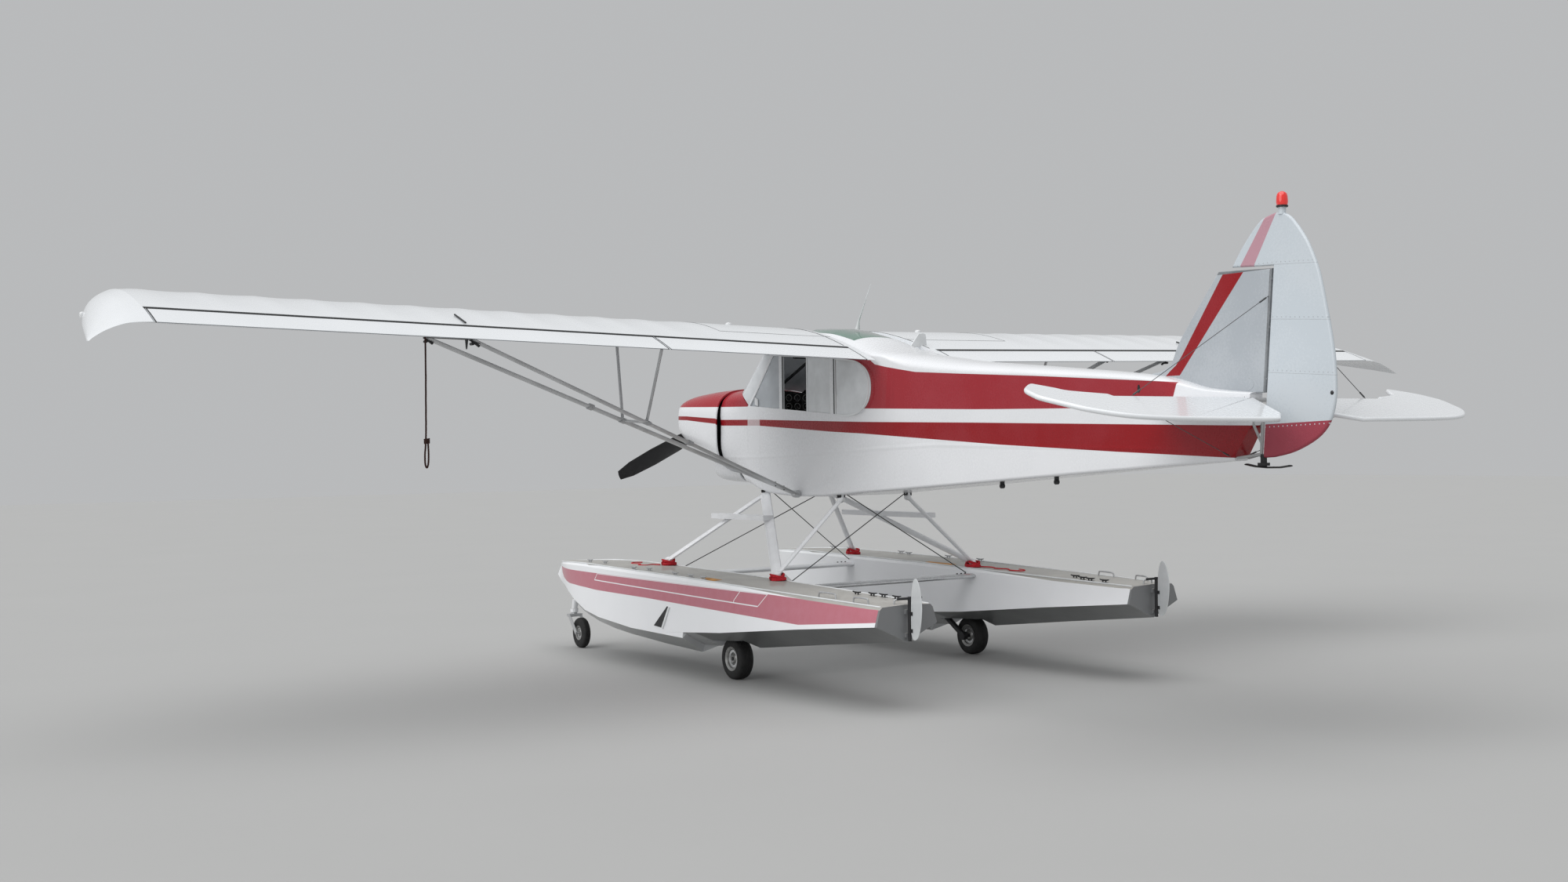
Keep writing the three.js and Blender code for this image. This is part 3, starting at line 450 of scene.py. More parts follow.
@dataclass(frozen=True)
class Livery:
    """The painted finishes. Their red bands follow lines of (station, height) points."""

    upper_top: tuple = ((1.0, 2.421), (1.3, 2.423), (1.4, 2.402), (1.48, 2.362), (1.54, 2.323), (1.66, 2.3),
                        (1.8, 2.278), (2.0, 2.248), (2.425, 2.22), (3.234, 2.171), (4.159, 2.107),
                        (4.6, 2.075))
    upper_foot: tuple = ((1.2, 2.006), (1.388, 2.0), (2.608, 1.964), (2.894, 1.958), (4.6, 1.93))
    upper_front: float = 1.06
    stripe_top: tuple = ((-1.33, 2.0), (-1.11, 1.995), (-0.63, 1.966), (-0.62, 1.955), (-0.088, 1.946),
                         (1.386, 1.9), (2.606, 1.872), (4.831, 1.814), (5.2, 1.806))
    stripe_foot: tuple = ((-1.33, 1.968), (-1.11, 1.961), (-0.63, 1.922), (-0.62, 1.906), (-0.089, 1.897),
                          (0.982, 1.833), (1.384, 1.813), (2.89, 1.716), (3.955, 1.662), (4.828, 1.623),
                          (5.2, 1.61))
    nose_line: tuple = ((-1.33, 2.078), (-0.625, 2.062), (-0.25, 2.056))
    tape: tuple = (-0.25, -0.07)
    crease: tuple = ((-0.07, 1.64), (2.2, 1.72), (4.8, 1.665))
    rudder_red: tuple = ((5.05, 1.812), (5.65, 1.83))
    rudder_ribs: tuple = (((5.2, 2.741), (5.518, 2.725)), ((5.195, 2.424), (5.587, 2.397)),
                          ((5.172, 2.115), (5.644, 2.082)))
    float_top: tuple = ((-2.12, 0.71), (-1.6, 0.704), (-1.0, 0.706), (1.677, 0.697), (3.067, 0.673))
    float_foot: tuple = ((-2.12, 0.7), (-2.02, 0.652), (-1.86, 0.612), (-1.65, 0.588), (-1.2, 0.578),
                         (-1.0, 0.571),
                         (-0.102, 0.563), (1.125, 0.539), (2.109, 0.517), (3.065, 0.599))
    pin_top: tuple = ((-1.02, 0.704), (1.69, 0.696))
    pin_foot: tuple = ((-1.036, 0.65), (1.579, 0.605))

    def gloss(self, graph: Graph, red: Socket, white: object = WHITE, red_colour: object = RED,
              heights: Socket | None = None) -> bpy.types.Material:
        """Ends a painted finish: white with red by its mask, dust in the colour, a wet coat.

        Args:
            graph: The graph that the masks were made in.
            red: 1 where the paint is red.
            white: The colour of the rest.
            red_colour: The colour of the bands.
            heights: Seams and tapes, in metres, that the bump shows.

        Returns:
            The finished material.
        """
        cloud = graph.noise(2.2, 5.0)
        fine = graph.noise(60.0, 4.0)
        dusty = graph.blend(graph.remap(cloud * 0.85 + fine * 0.15, 0.42, 0.72, 0.0, 0.3), white, SHADE_WHITE)
        shade = graph.blend(graph.remap(cloud, 0.4, 0.75, 0.0, 0.08), red_colour, PINK_RED)
        colour = graph.blend(red, dusty, shade)
        roughness = graph.remap(fine * 0.5 + cloud * 0.5, 0.3, 0.7, 0.2, 0.34)
        relief = graph.noise(7.0, 1.0) * 0.0006 + graph.noise(600.0, 1.0) * 0.00001
        if heights is not None:
            relief = relief + heights
        coat = graph.remap(red, 0.0, 1.0, 0.5, 0.12)
        fixed = {"Coat Roughness": 0.08, "Specular IOR Level": 0.3}
        return graph.close(colour, roughness, fixed, {"Normal": graph.bump(relief, 1.0), "Coat Weight": coat})

    def fuselage(self) -> bpy.types.Material:
        """Cowl, cabin and tail cone: white, a broad upper red, a tapering stripe and a red nose; the upper
        red and the nose are lightened with painted sheen.

        Returns:
            The finished material.
        """
        graph = Graph("fuselage_paint")
        station, height = graph.station, graph.height
        slant = graph.edge(graph.course(height, ((1.9, 4.408), (2.015, 4.45), (2.109, 4.483),
                                                 (2.2, 4.515))) - station)
        upper = graph.band(height, graph.course(station, self.upper_foot),
                           graph.course(station, self.upper_top))
        upper = upper * graph.edge(station - self.upper_front) * slant
        stripe = graph.band(height, graph.course(station, self.stripe_foot),
                            graph.course(station, self.stripe_top))
        nose = graph.edge(height - graph.course(station, self.nose_line)) * graph.edge(-0.24 - station)
        red = upper.most(stripe).most(nose)
        taped = graph.band(station, *self.tape, soft=0.004) * graph.band(height, 1.45, 2.06, 0.01)
        # The tape's red fades towards white; the upper band and the nose take the red lightened with painted
        # sheen.
        band_red = graph.blend(taped * 0.55, graph.blend(upper.most(nose), RED, SHEEN_UPPER_RED), WHITE)
        seams = sum((graph.band(station, s - 0.001, s + 0.001, 0.002) * -0.0012 for s in self.tape), 0.0)
        ridge = graph.remap((height - graph.course(station, self.crease)).size(), 0.0, 0.02, 0.0018, 0.0)
        fold = graph.remap((station - 1.68 - (height - 2.2) * 0.1).size(), 0.0, 0.05, 0.003, 0.0)
        fold = fold * graph.edge(height - 1.95, 0.2)
        return self.gloss(graph, red, red_colour=band_red, heights=seams + ridge + fold + taped * 0.0006)

    def fin(self) -> bpy.types.Material:
        """The fin's slanting red band, on white greyed with painted shade that darkens further at the hinge
        gap and along the fin's top.

        Returns:
            The finished material.
        """
        graph = Graph("fin_paint")
        low = graph.course(graph.height, ((2.128, 4.296), (2.155, 4.331), (2.192, 4.387), (2.243, 4.435),
                                          (2.74, 4.808), (2.8, 4.853)))
        high = graph.course(graph.height, ((2.0, 4.303), (2.113, 4.406), (2.726, 4.966), (2.8, 5.034)))
        band = graph.band(graph.station, low, high) * graph.edge(graph.height - 2.128)
        post = graph.course(graph.height, ((1.99, 5.103), (2.722, 5.168)))
        post = graph.edge(graph.station - post).most(graph.edge(graph.height - 2.7175))
        # The fin's white is greyed with painted shade, darker still behind the hinge line and above the fin's
        # top.
        white = graph.blend(post, SHADED_FIN_WHITE, HINGE_GAP_SHADE)
        return self.gloss(graph, band * (1.0 - post), white=white)

    def rudder(self) -> bpy.types.Material:
        """The rudder's red foot, and the band that goes on over its horn, on white greyed with painted shade.

        Returns:
            The finished material.
        """
        graph = Graph("rudder_paint")
        foot = graph.edge(graph.course(graph.station, self.rudder_red) - graph.height)
        low = graph.course(graph.height, ((2.7, 4.893), (2.77, 4.947), (3.05, 5.156)))
        high = graph.course(graph.height, ((2.7, 5.015), (2.742, 5.04), (3.05, 5.228)))
        horn = graph.band(graph.station, low, high) * graph.edge(graph.height - 2.72)
        horn = horn * graph.edge(graph.station - 4.7)
        band_red = graph.blend(graph.edge(graph.height - 2.5), FOOT_RED, HORN_PINK)
        seams, dots = 0.0, 0.0
        for rib in self.rudder_ribs:
            middle = graph.course(graph.station, rib)
            seams = graph.band(graph.height, middle - 0.0012, middle + 0.0012, 0.0015) + seams
            dots = self.stitches(graph, middle + 0.014) + dots
        # The rudder's white is greyed with painted shade, and its rib seams and stitches darken it a little.
        white = graph.blend(seams * 0.6 + dots * 0.35, SHADED_RUDDER_WHITE, SEAM_GREY)
        red = foot.most(horn) * (1.0 - self.stitches(graph,
                                                     graph.course(graph.station, self.rudder_red) - 0.016))
        return self.gloss(graph, red, red_colour=band_red, white=white, heights=(seams + dots) * 0.0008)

    def stitches(self, graph: Graph, middle: Socket) -> Socket:
        """A row of small round heads along a height.

        Args:
            graph: The graph that the mask is made in.
            middle: The height that the row follows.

        Returns:
            1 or more on a head.
        """
        along = graph.station.cycle(0.034) - 0.017
        rise = graph.height - middle
        return graph.remap(along * along + rise * rise, 0.0, 0.0000202, 2.0, 0.0)

    def cloth(self) -> bpy.types.Material:
        """Doped fabric of the wings and tail surfaces."""
        graph = Graph("wing_fabric")
        return self.gloss(graph, graph.edge(graph.height - 50.0), white=CLOTH_WHITE)

    def hull(self) -> bpy.types.Material:
        """A float: white sides with a faded stripe outboard, grey bottom and stern, gritty grey deck. The
        stern's grey is lightened with painted light, and so, in part, is the paler forward bottom.

        Returns:
            The finished material.
        """
        graph = Graph("float_paint")
        station, height, up = graph.station, graph.height, graph.facing()
        foot = graph.course(station, self.float_foot)
        stripe = graph.band(height, foot, graph.course(station, self.float_top))
        outside = graph.edge(graph.across.size() - 1.12)
        stripe = stripe * outside * graph.edge(station + 2.09) * (1.0 - self.pinstripe(graph))
        bottom = graph.edge(-0.45 - up, 0.05)
        aft = graph.edge(station - 2.986)
        shoulder = graph.remap(station, 2.6, 2.95, 0.235, 0.208) - (graph.across.size() - 1.093).size()
        deck = graph.edge(up - 0.55, 0.05) * graph.edge(shoulder + graph.remap(station, -1.2, -2.1, 0.0,
                                                                               -0.14))
        grit = graph.noise(1500.0, 2.0)
        cloud = graph.noise(3.0, 5.0)
        side = graph.blend(graph.remap(cloud, 0.4, 0.75, 0.0, 0.3), HULL_WHITE, WHITE)
        side = graph.blend(stripe, side, graph.blend(graph.noise(14.0), FADED_RED, PINK_RED))
        keel = graph.blend(graph.remap(graph.noise(2.0), 0.4, 0.7), HULL_GREY, WORN_HULL)
        # The forward bottom is paler, partly its own paint and partly painted light; the stern's grey is
        # lightened with painted light.
        keel = graph.blend(graph.edge(0.72 - station, 0.03), graph.blend(aft, keel, LIT_STERN_GREY), BOW_GREY_AND_PAINTED_LIGHT)
        colour = graph.blend(bottom.most(aft * (1.0 - deck)), side, keel)
        tread = graph.blend(graph.remap(grit * 0.5 + cloud * 0.5, 0.4, 0.6), DECK_GREY, WORN_DECK)
        colour = graph.blend(deck, colour, tread)
        roughness = graph.remap(deck, 0.0, 1.0, 0.32, 0.85)
        relief = graph.noise(6.0, 2.0) * 0.0012 + grit * deck * 0.0006 + self.rivets(graph, up)
        return graph.close(colour, roughness, {"Coat Weight": 0.25}, {"Normal": graph.bump(relief, 1.0)})

    def pinstripe(self, graph: Graph) -> Socket:
        """The thin white outline of the stripe's middle, and the blank plate's frame at its end.

        Args:
            graph: The graph that the mask is made in.

        Returns:
            1 on the lines.
        """
        station, height = graph.station, graph.height
        foot, top = graph.course(station, self.pin_foot), graph.course(station, self.pin_top)
        front = graph.course(height, ((0.65, -1.036), (0.707, -0.99)))
        rear = graph.course(height, ((0.605, 1.579), (0.698, 1.687)))
        plate_front = graph.course(height, ((0.626, 1.251), (0.704, 1.331)))
        within = graph.band(station, front, rear)
        tall = graph.band(height, foot, top)
        lines = graph.band(height, foot - 0.004, foot + 0.004).most(graph.band(height, top - 0.004,
                                                                               top)) * within
        for end in (front, rear, plate_front):
            lines = lines.most(graph.band(station, end - 0.004, end + 0.004) * tall)
        return lines

    def rivets(self, graph: Graph, up: Socket) -> Socket:
        """Rows of rivet heads along the hull's frames, in metres of height.

        Args:
            graph: The graph that the mask is made in.
            up: How far the face looks up.

        Returns:
            The heads' height in metres.
        """
        pitch, frame_pitch, radius = 0.028, 0.42, 0.0042
        along = (graph.station.cycle(frame_pitch) - 0.03).size()
        rows = (graph.height.cycle(pitch) - pitch / 2).size()
        spot = graph.remap(along * along + rows * rows, 0.0, radius * radius, 0.0012, 0.0)
        return spot * graph.edge(0.5 - up.size(), 0.1)


FINISHES = (
    Finish("strut_white", Slot.STRUT, (0.86, 0.87, 0.89, 1.0), 0.3, coat=0.4, blotch=0.1),
    Finish("strut_grey", Slot.STRUT, (0.58, 0.59, 0.6, 1.0), 0.34, 0.5, blotch=0.25, grain=0.0002,
           grain_scale=120.0),
    Finish("tail_tube", Slot.TUBE, (0.46, 0.47, 0.47, 1.0), 0.45, 0.1),
    Finish("dark_metal", Slot.DARK, (0.03, 0.03, 0.032, 1.0), 0.45, 0.4),
    Finish("cable", Slot.DARK, (0.1, 0.1, 0.1, 1.0), 0.4, 0.8, grain=0.0003, grain_scale=900.0),
    Finish("blade_black", Slot.BLADE, (0.012, 0.012, 0.013, 1.0), 0.42, coat=0.2, grain=0.0001),
    Finish("tyre", Slot.TYRE, (0.014, 0.014, 0.014, 1.0), 0.75, blotch=0.35, blotch_scale=25.0, grain=0.0004,
           grain_scale=700.0),
    Finish("wheel_rim", Slot.STRUT, (0.36, 0.36, 0.35, 1.0), 0.4, 0.6, blotch=0.35, blotch_scale=40.0),
    Finish("window", Slot.GLASS, (0.8, 0.85, 0.9, 1.0), 0.06, coat=1.0, blotch=0.2, blotch_scale=4.0,
           alpha=0.5),
    # Pale, nearly opaque panes: painted reflection of the bright sky.
    Finish("hazy_window", Slot.GLASS, (0.92, 0.95, 0.97, 1.0), 0.12, coat=1.0, blotch=0.3, blotch_scale=3.0,
           alpha=0.88),
    Finish("windshield_sheet", Slot.GLASS, (0.92, 0.95, 0.98, 1.0), 0.06, coat=1.0, blotch=0.2, alpha=0.84),
    Finish("green_roof", Slot.GREEN, (0.1, 0.26, 0.18, 1.0), 0.06, coat=1.0, blotch=0.25, alpha=0.85),
    Finish("seat_cloth", Slot.SEAT, (0.035, 0.036, 0.04, 1.0), 0.9, blotch=0.3, grain=0.0012,
           grain_scale=500.0),
    Finish("rope_brown", Slot.ROPE, (0.055, 0.022, 0.017, 1.0), 0.9, blotch=0.4, blotch_scale=60.0,
           grain=0.0012, grain_scale=500.0),
    Finish("rope_red", Slot.ROPE, (0.55, 0.01, 0.022, 1.0), 0.8, blotch=0.3, blotch_scale=60.0, grain=0.001,
           grain_scale=500.0),
    Finish("red_lens", Slot.LENS, (0.75, 0.02, 0.015, 1.0), 0.08, coat=1.0, glow=0.15),
    Finish("white_plastic", Slot.PLASTIC, (0.75, 0.76, 0.77, 1.0), 0.3, coat=0.3),
    Finish("orange_patch", Slot.FLOAT, (0.62, 0.27, 0.03, 1.0), 0.6, blotch=0.45, blotch_scale=12.0),
    Finish("paddle_wood", Slot.FLOAT, (0.42, 0.24, 0.1, 1.0), 0.5, coat=0.3, blotch=0.4, blotch_scale=30.0),
    Finish("trim_white", Slot.WHITE, (0.78, 0.8, 0.81, 1.0), 0.3, coat=0.4),
    # Painted shade on the trailing edge's face of flaps and ailerons, standing for the underside in shade.
    Finish("trailing_grey", Slot.WHITE, (0.3, 0.32, 0.34, 1.0), 0.5),
    Finish("bright_metal", Slot.STRUT, (0.74, 0.75, 0.76, 1.0), 0.25, 0.8, blotch=0.2, blotch_scale=20.0),
    Finish("head_cloth", Slot.SEAT, (0.03, 0.031, 0.033, 1.0), 0.9, grain=0.0005, grain_scale=500.0),
    Finish("deck_metal", Slot.STRUT, (0.5, 0.51, 0.52, 1.0), 0.4, 0.4, blotch=0.3, blotch_scale=40.0),
    # Black for dark parts and seams, and painted shade in the wings' coves and at the edges of their flaps
    # and ailerons.
    Finish("gap_black", Slot.DARK, (0.03, 0.032, 0.034, 1.0), 0.7),
    Finish("dial_white", Slot.PLASTIC, (0.6, 0.6, 0.58, 1.0), 0.5),
    Finish("water_rudder", Slot.FLOAT, (0.66, 0.68, 0.69, 1.0), 0.35, 0.2, coat=0.3),
)


class Finishes:
    """Every finish of the aeroplane, made once and looked up by name."""

    def __init__(self) -> None:
        """Makes the plain finishes and the painted ones."""
        self.made = {finish.name: finish.build() for finish in FINISHES}
        self.slots = {finish.name: finish.slot for finish in FINISHES}
        livery = Livery()
        for material in (livery.fuselage(), livery.fin(), livery.rudder(), livery.cloth()):
            self.made[material.name] = material
            self.slots[material.name] = Slot.WHITE
        hull = livery.hull()
        self.made[hull.name] = hull
        self.slots[hull.name] = Slot.FLOAT

    def __getitem__(self, name: str) -> bpy.types.Material:
        """The material of that name."""
        return self.made[name]


def stand(name: str, data: bpy.types.ID) -> bpy.types.Object:
    """Makes an object of some data and stands it in the scene.

    Args:
        name: Its name.
        data: The mesh, lamp or lens that it shows.

    Returns:
        The new object.
    """
    made = bpy.data.objects.new(name, data)
    bpy.context.scene.collection.objects.link(made)
    return made


@dataclass
class Shape:
    """A mesh under construction: its points, its faces and the number of each face's finish."""

    points: list[Vector] = field(default_factory=list)
    faces: list[tuple[int, ...]] = field(default_factory=list)
    marks: list[int] = field(default_factory=list)

    def __add__(self, other: Shape) -> Shape:
        """Both shapes in one."""
        moved = [tuple(i + len(self.points) for i in face) for face in other.faces]
        return Shape(self.points + other.points, self.faces + moved, self.marks + other.marks)

    def marked(self, mark: int) -> Shape:
        """The same shape with one finish all over."""
        return Shape(self.points, self.faces, [mark] * len(self.faces))

    def turned(self, matrix: Matrix, about: Vector) -> Shape:
        """The shape turned about a point."""
        return Shape([about + matrix @ (p - about) for p in self.points], self.faces, self.marks)

    def sided(self, side: Side) -> Shape:
        """The shape, drawn for the port side, as it stands on a side."""
        points = [Vector((p.x * side.value, p.y, p.z)) for p in self.points]
        return Shape(points, self.faces, self.marks)

    def both(self) -> Shape:
        """The shape and its mirror image."""
        return self + self.sided(Side.STARBOARD)


def total(shapes: Iterable[Shape]) -> Shape:
    """All the shapes in one."""
    return sum(shapes, Shape())


def loft(rings: Sequence[Sequence[Vector]], capped: bool = True,
         mark: Callable[[int, int], int] = lambda row, column: 0) -> Shape:
    """A skin over closed rings of one length.

    Args:
        rings: Rings of points, one after the other.
        capped: Whether its two ends are closed.
        mark: Gives the finish of the face at a row and a column.

    Returns:
        The skin.
    """
    count = len(rings[0])
    shape = Shape([point for ring in rings for point in ring])
    for row in range(len(rings) - 1):
        for i in range(count):
            a, b = row * count + i, row * count + (i + 1) % count
            shape.faces.append((a, b, b + count, a + count))
            shape.marks.append(mark(row, i))
    if capped:
        last = (len(rings) - 1) * count
        shape.faces += [tuple(range(count)), tuple(range(last, last + count))]
        shape.marks += [0, 0]
    return shape


def tube(
    points: Sequence[Vector],
    radius: float | Sequence[float],
    sides: int = 12,
    flat: float = 1.0,
    across: Vector = Vector((0, 1, 0)),
    fair: float = 0.0,
) -> Shape:
    """A bar along points.

    Args:
        points: The line it follows.
        radius: Half its wide way, one value or one a point.
        sides: How many sides it has.
        flat: Its thickness as a share of its width.
        across: The direction of its wide way.
        fair: How much its after edge is sharpened, as a streamlined strut's is.

    Returns:
        The closed shape.
    """
    rings = []
    last = len(points) - 1
    for i, point in enumerate(points):
        along = (points[min(i + 1, last)] - points[max(i - 1, 0)]).normalized()
        wide = across - along * along.dot(across)
        if wide.length < 0.1:
            wide = Vector((1, 0, 0)) - along * along.x
        wide.normalize()
        thin = along.cross(wide)
        r = radius if isinstance(radius, float) else radius[i]
        ring = []
        for k in range(sides):
            angle = tau * k / sides
            c, s = cos(angle), sin(angle)
            ring.append(point + wide * (r * c) + thin * (r * flat * s * (1 - fair * (1 + c) / 2)))
        rings.append(ring)
    return loft(rings)


def turned(profile: Outline, centre: Vector, axis: str = "X", segments: int = 48) -> Shape:
    """A turned piece.

    Args:
        profile: A closed line of (radius, distance along the axis).
        centre: Where distance 0 lies on the axis.
        axis: The axis it is turned about.
        segments: How many steps the turn has.

    Returns:
        The ring-shaped or solid shape.
    """
    place = {
        "X": lambda c, s, h: Vector((h, c, s)),
        "Y": lambda c, s, h: Vector((c, h, s)),
        "Z": lambda c, s, h: Vector((c, s, h)),
    }[axis]
    rings = []
    for k in range(segments + 1):
        angle = tau * k / segments
        rings.append([centre + place(r * cos(angle), r * sin(angle), h) for r, h in profile])
    return loft(rings, capped=False)


def upright(u: float, v: float, w: float) -> Vector:
    """A point of a plate that stands fore and aft: station, height, distance to port."""
    return at(w, u, v)


def level(u: float, v: float, w: float) -> Vector:
    """A point of a plate that lies flat: distance to port, station, height."""
    return at(u, v, w)


def crosswise(u: float, v: float, w: float) -> Vector:
    """A point of a plate that stands across: distance to port, height, station."""
    return at(u, w, v)


def plate(place: Callable[[float, float, float], Vector], outline: Outline, low: float, high: float) -> Shape:
    """A flat plate of an outline, from low to high across its plane."""
    return loft([[place(u, v, w) for u, v in outline] for w in (low, high)])


def box(low: tuple[float, float, float], high: tuple[float, float, float]) -> Shape:
    """A block between two corners, by x, station and height."""
    outline = [(low[0], low[1]), (high[0], low[1]), (high[0], high[1]), (low[0], high[1])]
    return plate(level, outline, low[2], high[2])


def oval(station: float, half: float, low: float, high: float, power: float, x: float = 0.0,
         count: int = 96) -> list[Vector]:
    """A ring across the aeroplane, rounder or squarer by its power.

    Args:
        station: Where it stands.
        half: Half its width.
        low: Its lowest height.
        high: Its highest height.
        power: 2 for an ellipse, more for a squarer ring.
        x: Its middle's distance to port.
        count: How many points it has.

    Returns:
        The ring's points at even angles.
    """
    middle = (low + high) / 2
    points = []
    for k in range(count):
        angle = tau * (k + 0.5) / count
        reach = ray(angle, half, (high - low) / 2, power)
        points.append(at(x + reach * cos(angle), station, middle + reach * sin(angle)))
    return points


def ray(angle: float, half: float, tall: float, power: float) -> float:
    """How far a squared ellipse reaches at an angle."""
    wide, high = abs(cos(angle) / half), abs(sin(angle) / tall)
    return (wide**power + high**power) ** (-1 / power)


def ellipse(u: float, v: float, half: float, tall: float, pitch: float) -> Outline:
    """An ellipse about a middle, with a point at each pitch of the angle."""
    return [(u + half * cos(a), v + tall * sin(a)) for a in evenly(0.0, tau, pitch)[:-1]]


def evenly(start: float, end: float, pitch: float) -> list[float]:
    """Places from start to end, about a pitch apart."""
    count = ceil((end - start) / pitch)
    return [lerp(start, end, k / count) for k in range(count + 1)]


def settle(mesh: bpy.types.Mesh) -> None:
    """Joins a mesh's doubled points and turns its faces outward.

    Args:
        mesh: The mesh.
    """
    clean = bmesh.new()
    clean.from_mesh(mesh)
    bmesh.ops.remove_doubles(clean, verts=clean.verts, dist=2e-5)
    bmesh.ops.dissolve_degenerate(clean, edges=clean.edges, dist=1e-6)
    bmesh.ops.recalc_face_normals(clean, faces=clean.faces)
    clean.to_mesh(mesh)
    clean.free()


def carve(whole: Shape, *cutters: Shape) -> Shape:
    """Cuts closed shapes out of another; every face keeps its mark.

    Args:
        whole: The closed shape that is cut.
        cutters: The closed shapes that are taken away.

    Returns:
        What is left.
    """
    blanks = []
    fillers = [bpy.data.materials.new("blank") for _ in range(3)]
    for shape in (whole, *cutters):
        mesh = bpy.data.meshes.new("blank")
        mesh.from_pydata([tuple(p) for p in shape.points], [], shape.faces)
        mesh.polygons.foreach_set("material_index", shape.marks)
        for filler in fillers:
            mesh.materials.append(filler)
        settle(mesh)
        blanks.append(stand("blank", mesh))
    for cutter in blanks[1:]:
        cut = blanks[0].modifiers.new("cut", "BOOLEAN")
        cut.operation = "DIFFERENCE"
        cut.solver = "EXACT"
        cut.material_mode = "INDEX"
        cut.object = cutter
    bpy.context.view_layer.update()
    result = blanks[0].evaluated_get(bpy.context.evaluated_depsgraph_get())
    mesh = result.to_mesh()
    faces = [tuple(polygon.vertices) for polygon in mesh.polygons]
    marks = [polygon.material_index for polygon in mesh.polygons]
    shape = Shape([vertex.co.copy() for vertex in mesh.vertices], faces, marks)
    result.to_mesh_clear()
    for blank in blanks:
        bpy.data.meshes.remove(blank.data)
    for filler in fillers:
        bpy.data.materials.remove(filler)
    return shape


def inside(outline: Outline, inset: float) -> Outline:
    """An outline drawn in by an inset, corner by corner.

    Args:
        outline: The outline's points in order.
        inset: How far in, or out where it is below 0.

    Returns:
        The new outline.
    """
    area = sum(a[0] * b[1] - b[0] * a[1] for a, b in zip(outline, [*outline[1:], outline[0]]))
    turn = 1.0 if area > 0 else -1.0
    drawn = []
    for i, (u, v) in enumerate(outline):
        before, after = outline[i - 1], outline[(i + 1) % len(outline)]
        first = Vector((u - before[0], v - before[1])).normalized()
        second = Vector((after[0] - u, after[1] - v)).normalized()
        normal = Vector((-(first.y + second.y), first.x + second.x)) * turn
        normal *= inset / max(1 + first.dot(second), 0.5)
        drawn.append((u + normal.x, v + normal.y))
    return drawn


def strip(place: Callable[[float, float, float], Vector], outline: Outline, width: float, low: float,
          high: float) -> Shape:
    """A flat strip of a width round the outside of an outline, from low to high across its plane.

    Args:
        place: Turns plane coordinates into a point.
        outline: The outline's points in order.
        width: The strip's width.
        low: Where it starts across its plane.
        high: Where it ends across its plane.

    Returns:
        The strip.
    """
    section = []
    for (a, b), (c, d) in zip(outline, inside(outline, -width)):
        section.append([place(a, b, low), place(c, d, low), place(c, d, high), place(a, b, high)])
    return loft([*section, section[0]], capped=False)


def rounded(outline: Outline, radius: float, steps: int = 4) -> Outline:
    """An outline whose corners are arcs of about a radius.

    Args:
        outline: The outline's points in order.
        radius: The corners' radius.
        steps: How many steps an arc has.

    Returns:
        The new outline.
    """
    points: Outline = []
    for i, (u, v) in enumerate(outline):
        corner = Vector((u, v))
        before = Vector(outline[i - 1]) - corner
        after = Vector(outline[(i + 1) % len(outline)]) - corner
        reach = min(radius, before.length * 0.45, after.length * 0.45)
        start, end = corner + before.normalized() * reach, corner + after.normalized() * reach
        for k in range(steps + 1):
            t = k / steps
            spot = start * (1 - t) ** 2 + corner * 2 * t * (1 - t) + end * t * t
            points.append((spot.x, spot.y))
    return points


@dataclass
class Workshop:
    """Turns shapes into finished pieces that ride on the frame's bodies."""

    frame: dict
    finishes: Finishes
    made: int = 0

    def piece(
        self,
        name: str,
        shape: Shape,
        finish: str | Sequence[str],
        body: str = "airframe",
        replaces: Sequence[str] = (),
        bevel: float = 0.0,
        crisp: float = 38.0,
        rounds: int = 2,
    ) -> bpy.types.Object:
        """Makes a piece of the aeroplane.

        Args:
            name: The piece's name.
            shape: Its mesh.
            finish: The finish, or the finishes that the shape's marks count.
            body: The body that it moves with.
            replaces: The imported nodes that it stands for.
            bevel: The width of its rounded edges in metres, 0 for none.
            crisp: The angle in degrees past which an edge stays sharp.
            rounds: How many steps a rounded edge has.

        Returns:
            The new object.
        """
        names = [finish] if isinstance(finish, str) else list(finish)
        mesh = bpy.data.meshes.new(name)
        mesh.from_pydata([tuple(p) for p in shape.points], [], shape.faces)
        mesh.polygons.foreach_set("material_index", shape.marks)
        for each in names:
            mesh.materials.append(self.finishes[each])
        settle(mesh)
        mesh.shade_smooth()
        made = stand(name, mesh)
        if bevel:
            self.round_edges(made, bevel, crisp, rounds)
        else:
            mesh.set_sharp_from_angle(angle=radians(crisp))
            made.modifiers.new("flat_faces", "WEIGHTED_NORMAL").keep_sharp = True
        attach(made, body)
        if replaces:
            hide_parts(*replaces)
        self.made += 1
        return made

    def round_edges(self, made: bpy.types.Object, width: float, crisp: float, rounds: int) -> None:
        """Rounds an object's sharp edges and keeps its faces flat beside them.

        Args:
            made: The object.
            width: How wide the rounding is in metres.
            crisp: The angle in degrees past which an edge is rounded.
            rounds: How many steps the rounding has.
        """
        bevel = made.modifiers.new("rounded_edges", "BEVEL")
        bevel.width = width
        bevel.segments = rounds
        bevel.limit_method = "ANGLE"
        bevel.angle_limit = radians(crisp)
        bevel.use_clamp_overlap = True
        weighted = made.modifiers.new("flat_faces", "WEIGHTED_NORMAL")
        weighted.keep_sharp = True

    def dress(self, node: str, finish: str, bevel: float = 0.0015, crisp: float = 34.0) -> None:
        """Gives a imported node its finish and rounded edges.

        Args:
            node: The node's name.
            finish: Its finish.
            bevel: The width of its rounded edges in metres.
            crisp: The angle in degrees past which an edge is rounded.
        """
        piece = self.frame["nodes"][node]
        for slot in piece.material_slots:
            slot.material = self.finishes[finish]
        for polygon in piece.data.polygons:
            polygon.use_smooth = True
        custom = piece.data.attributes.get("custom_normal")
        if custom:
            piece.data.attributes.remove(custom)
        weld = piece.modifiers.new("joined_corners", "WELD")
        weld.merge_threshold = 1e-5
        self.round_edges(piece, bevel, crisp, 2)


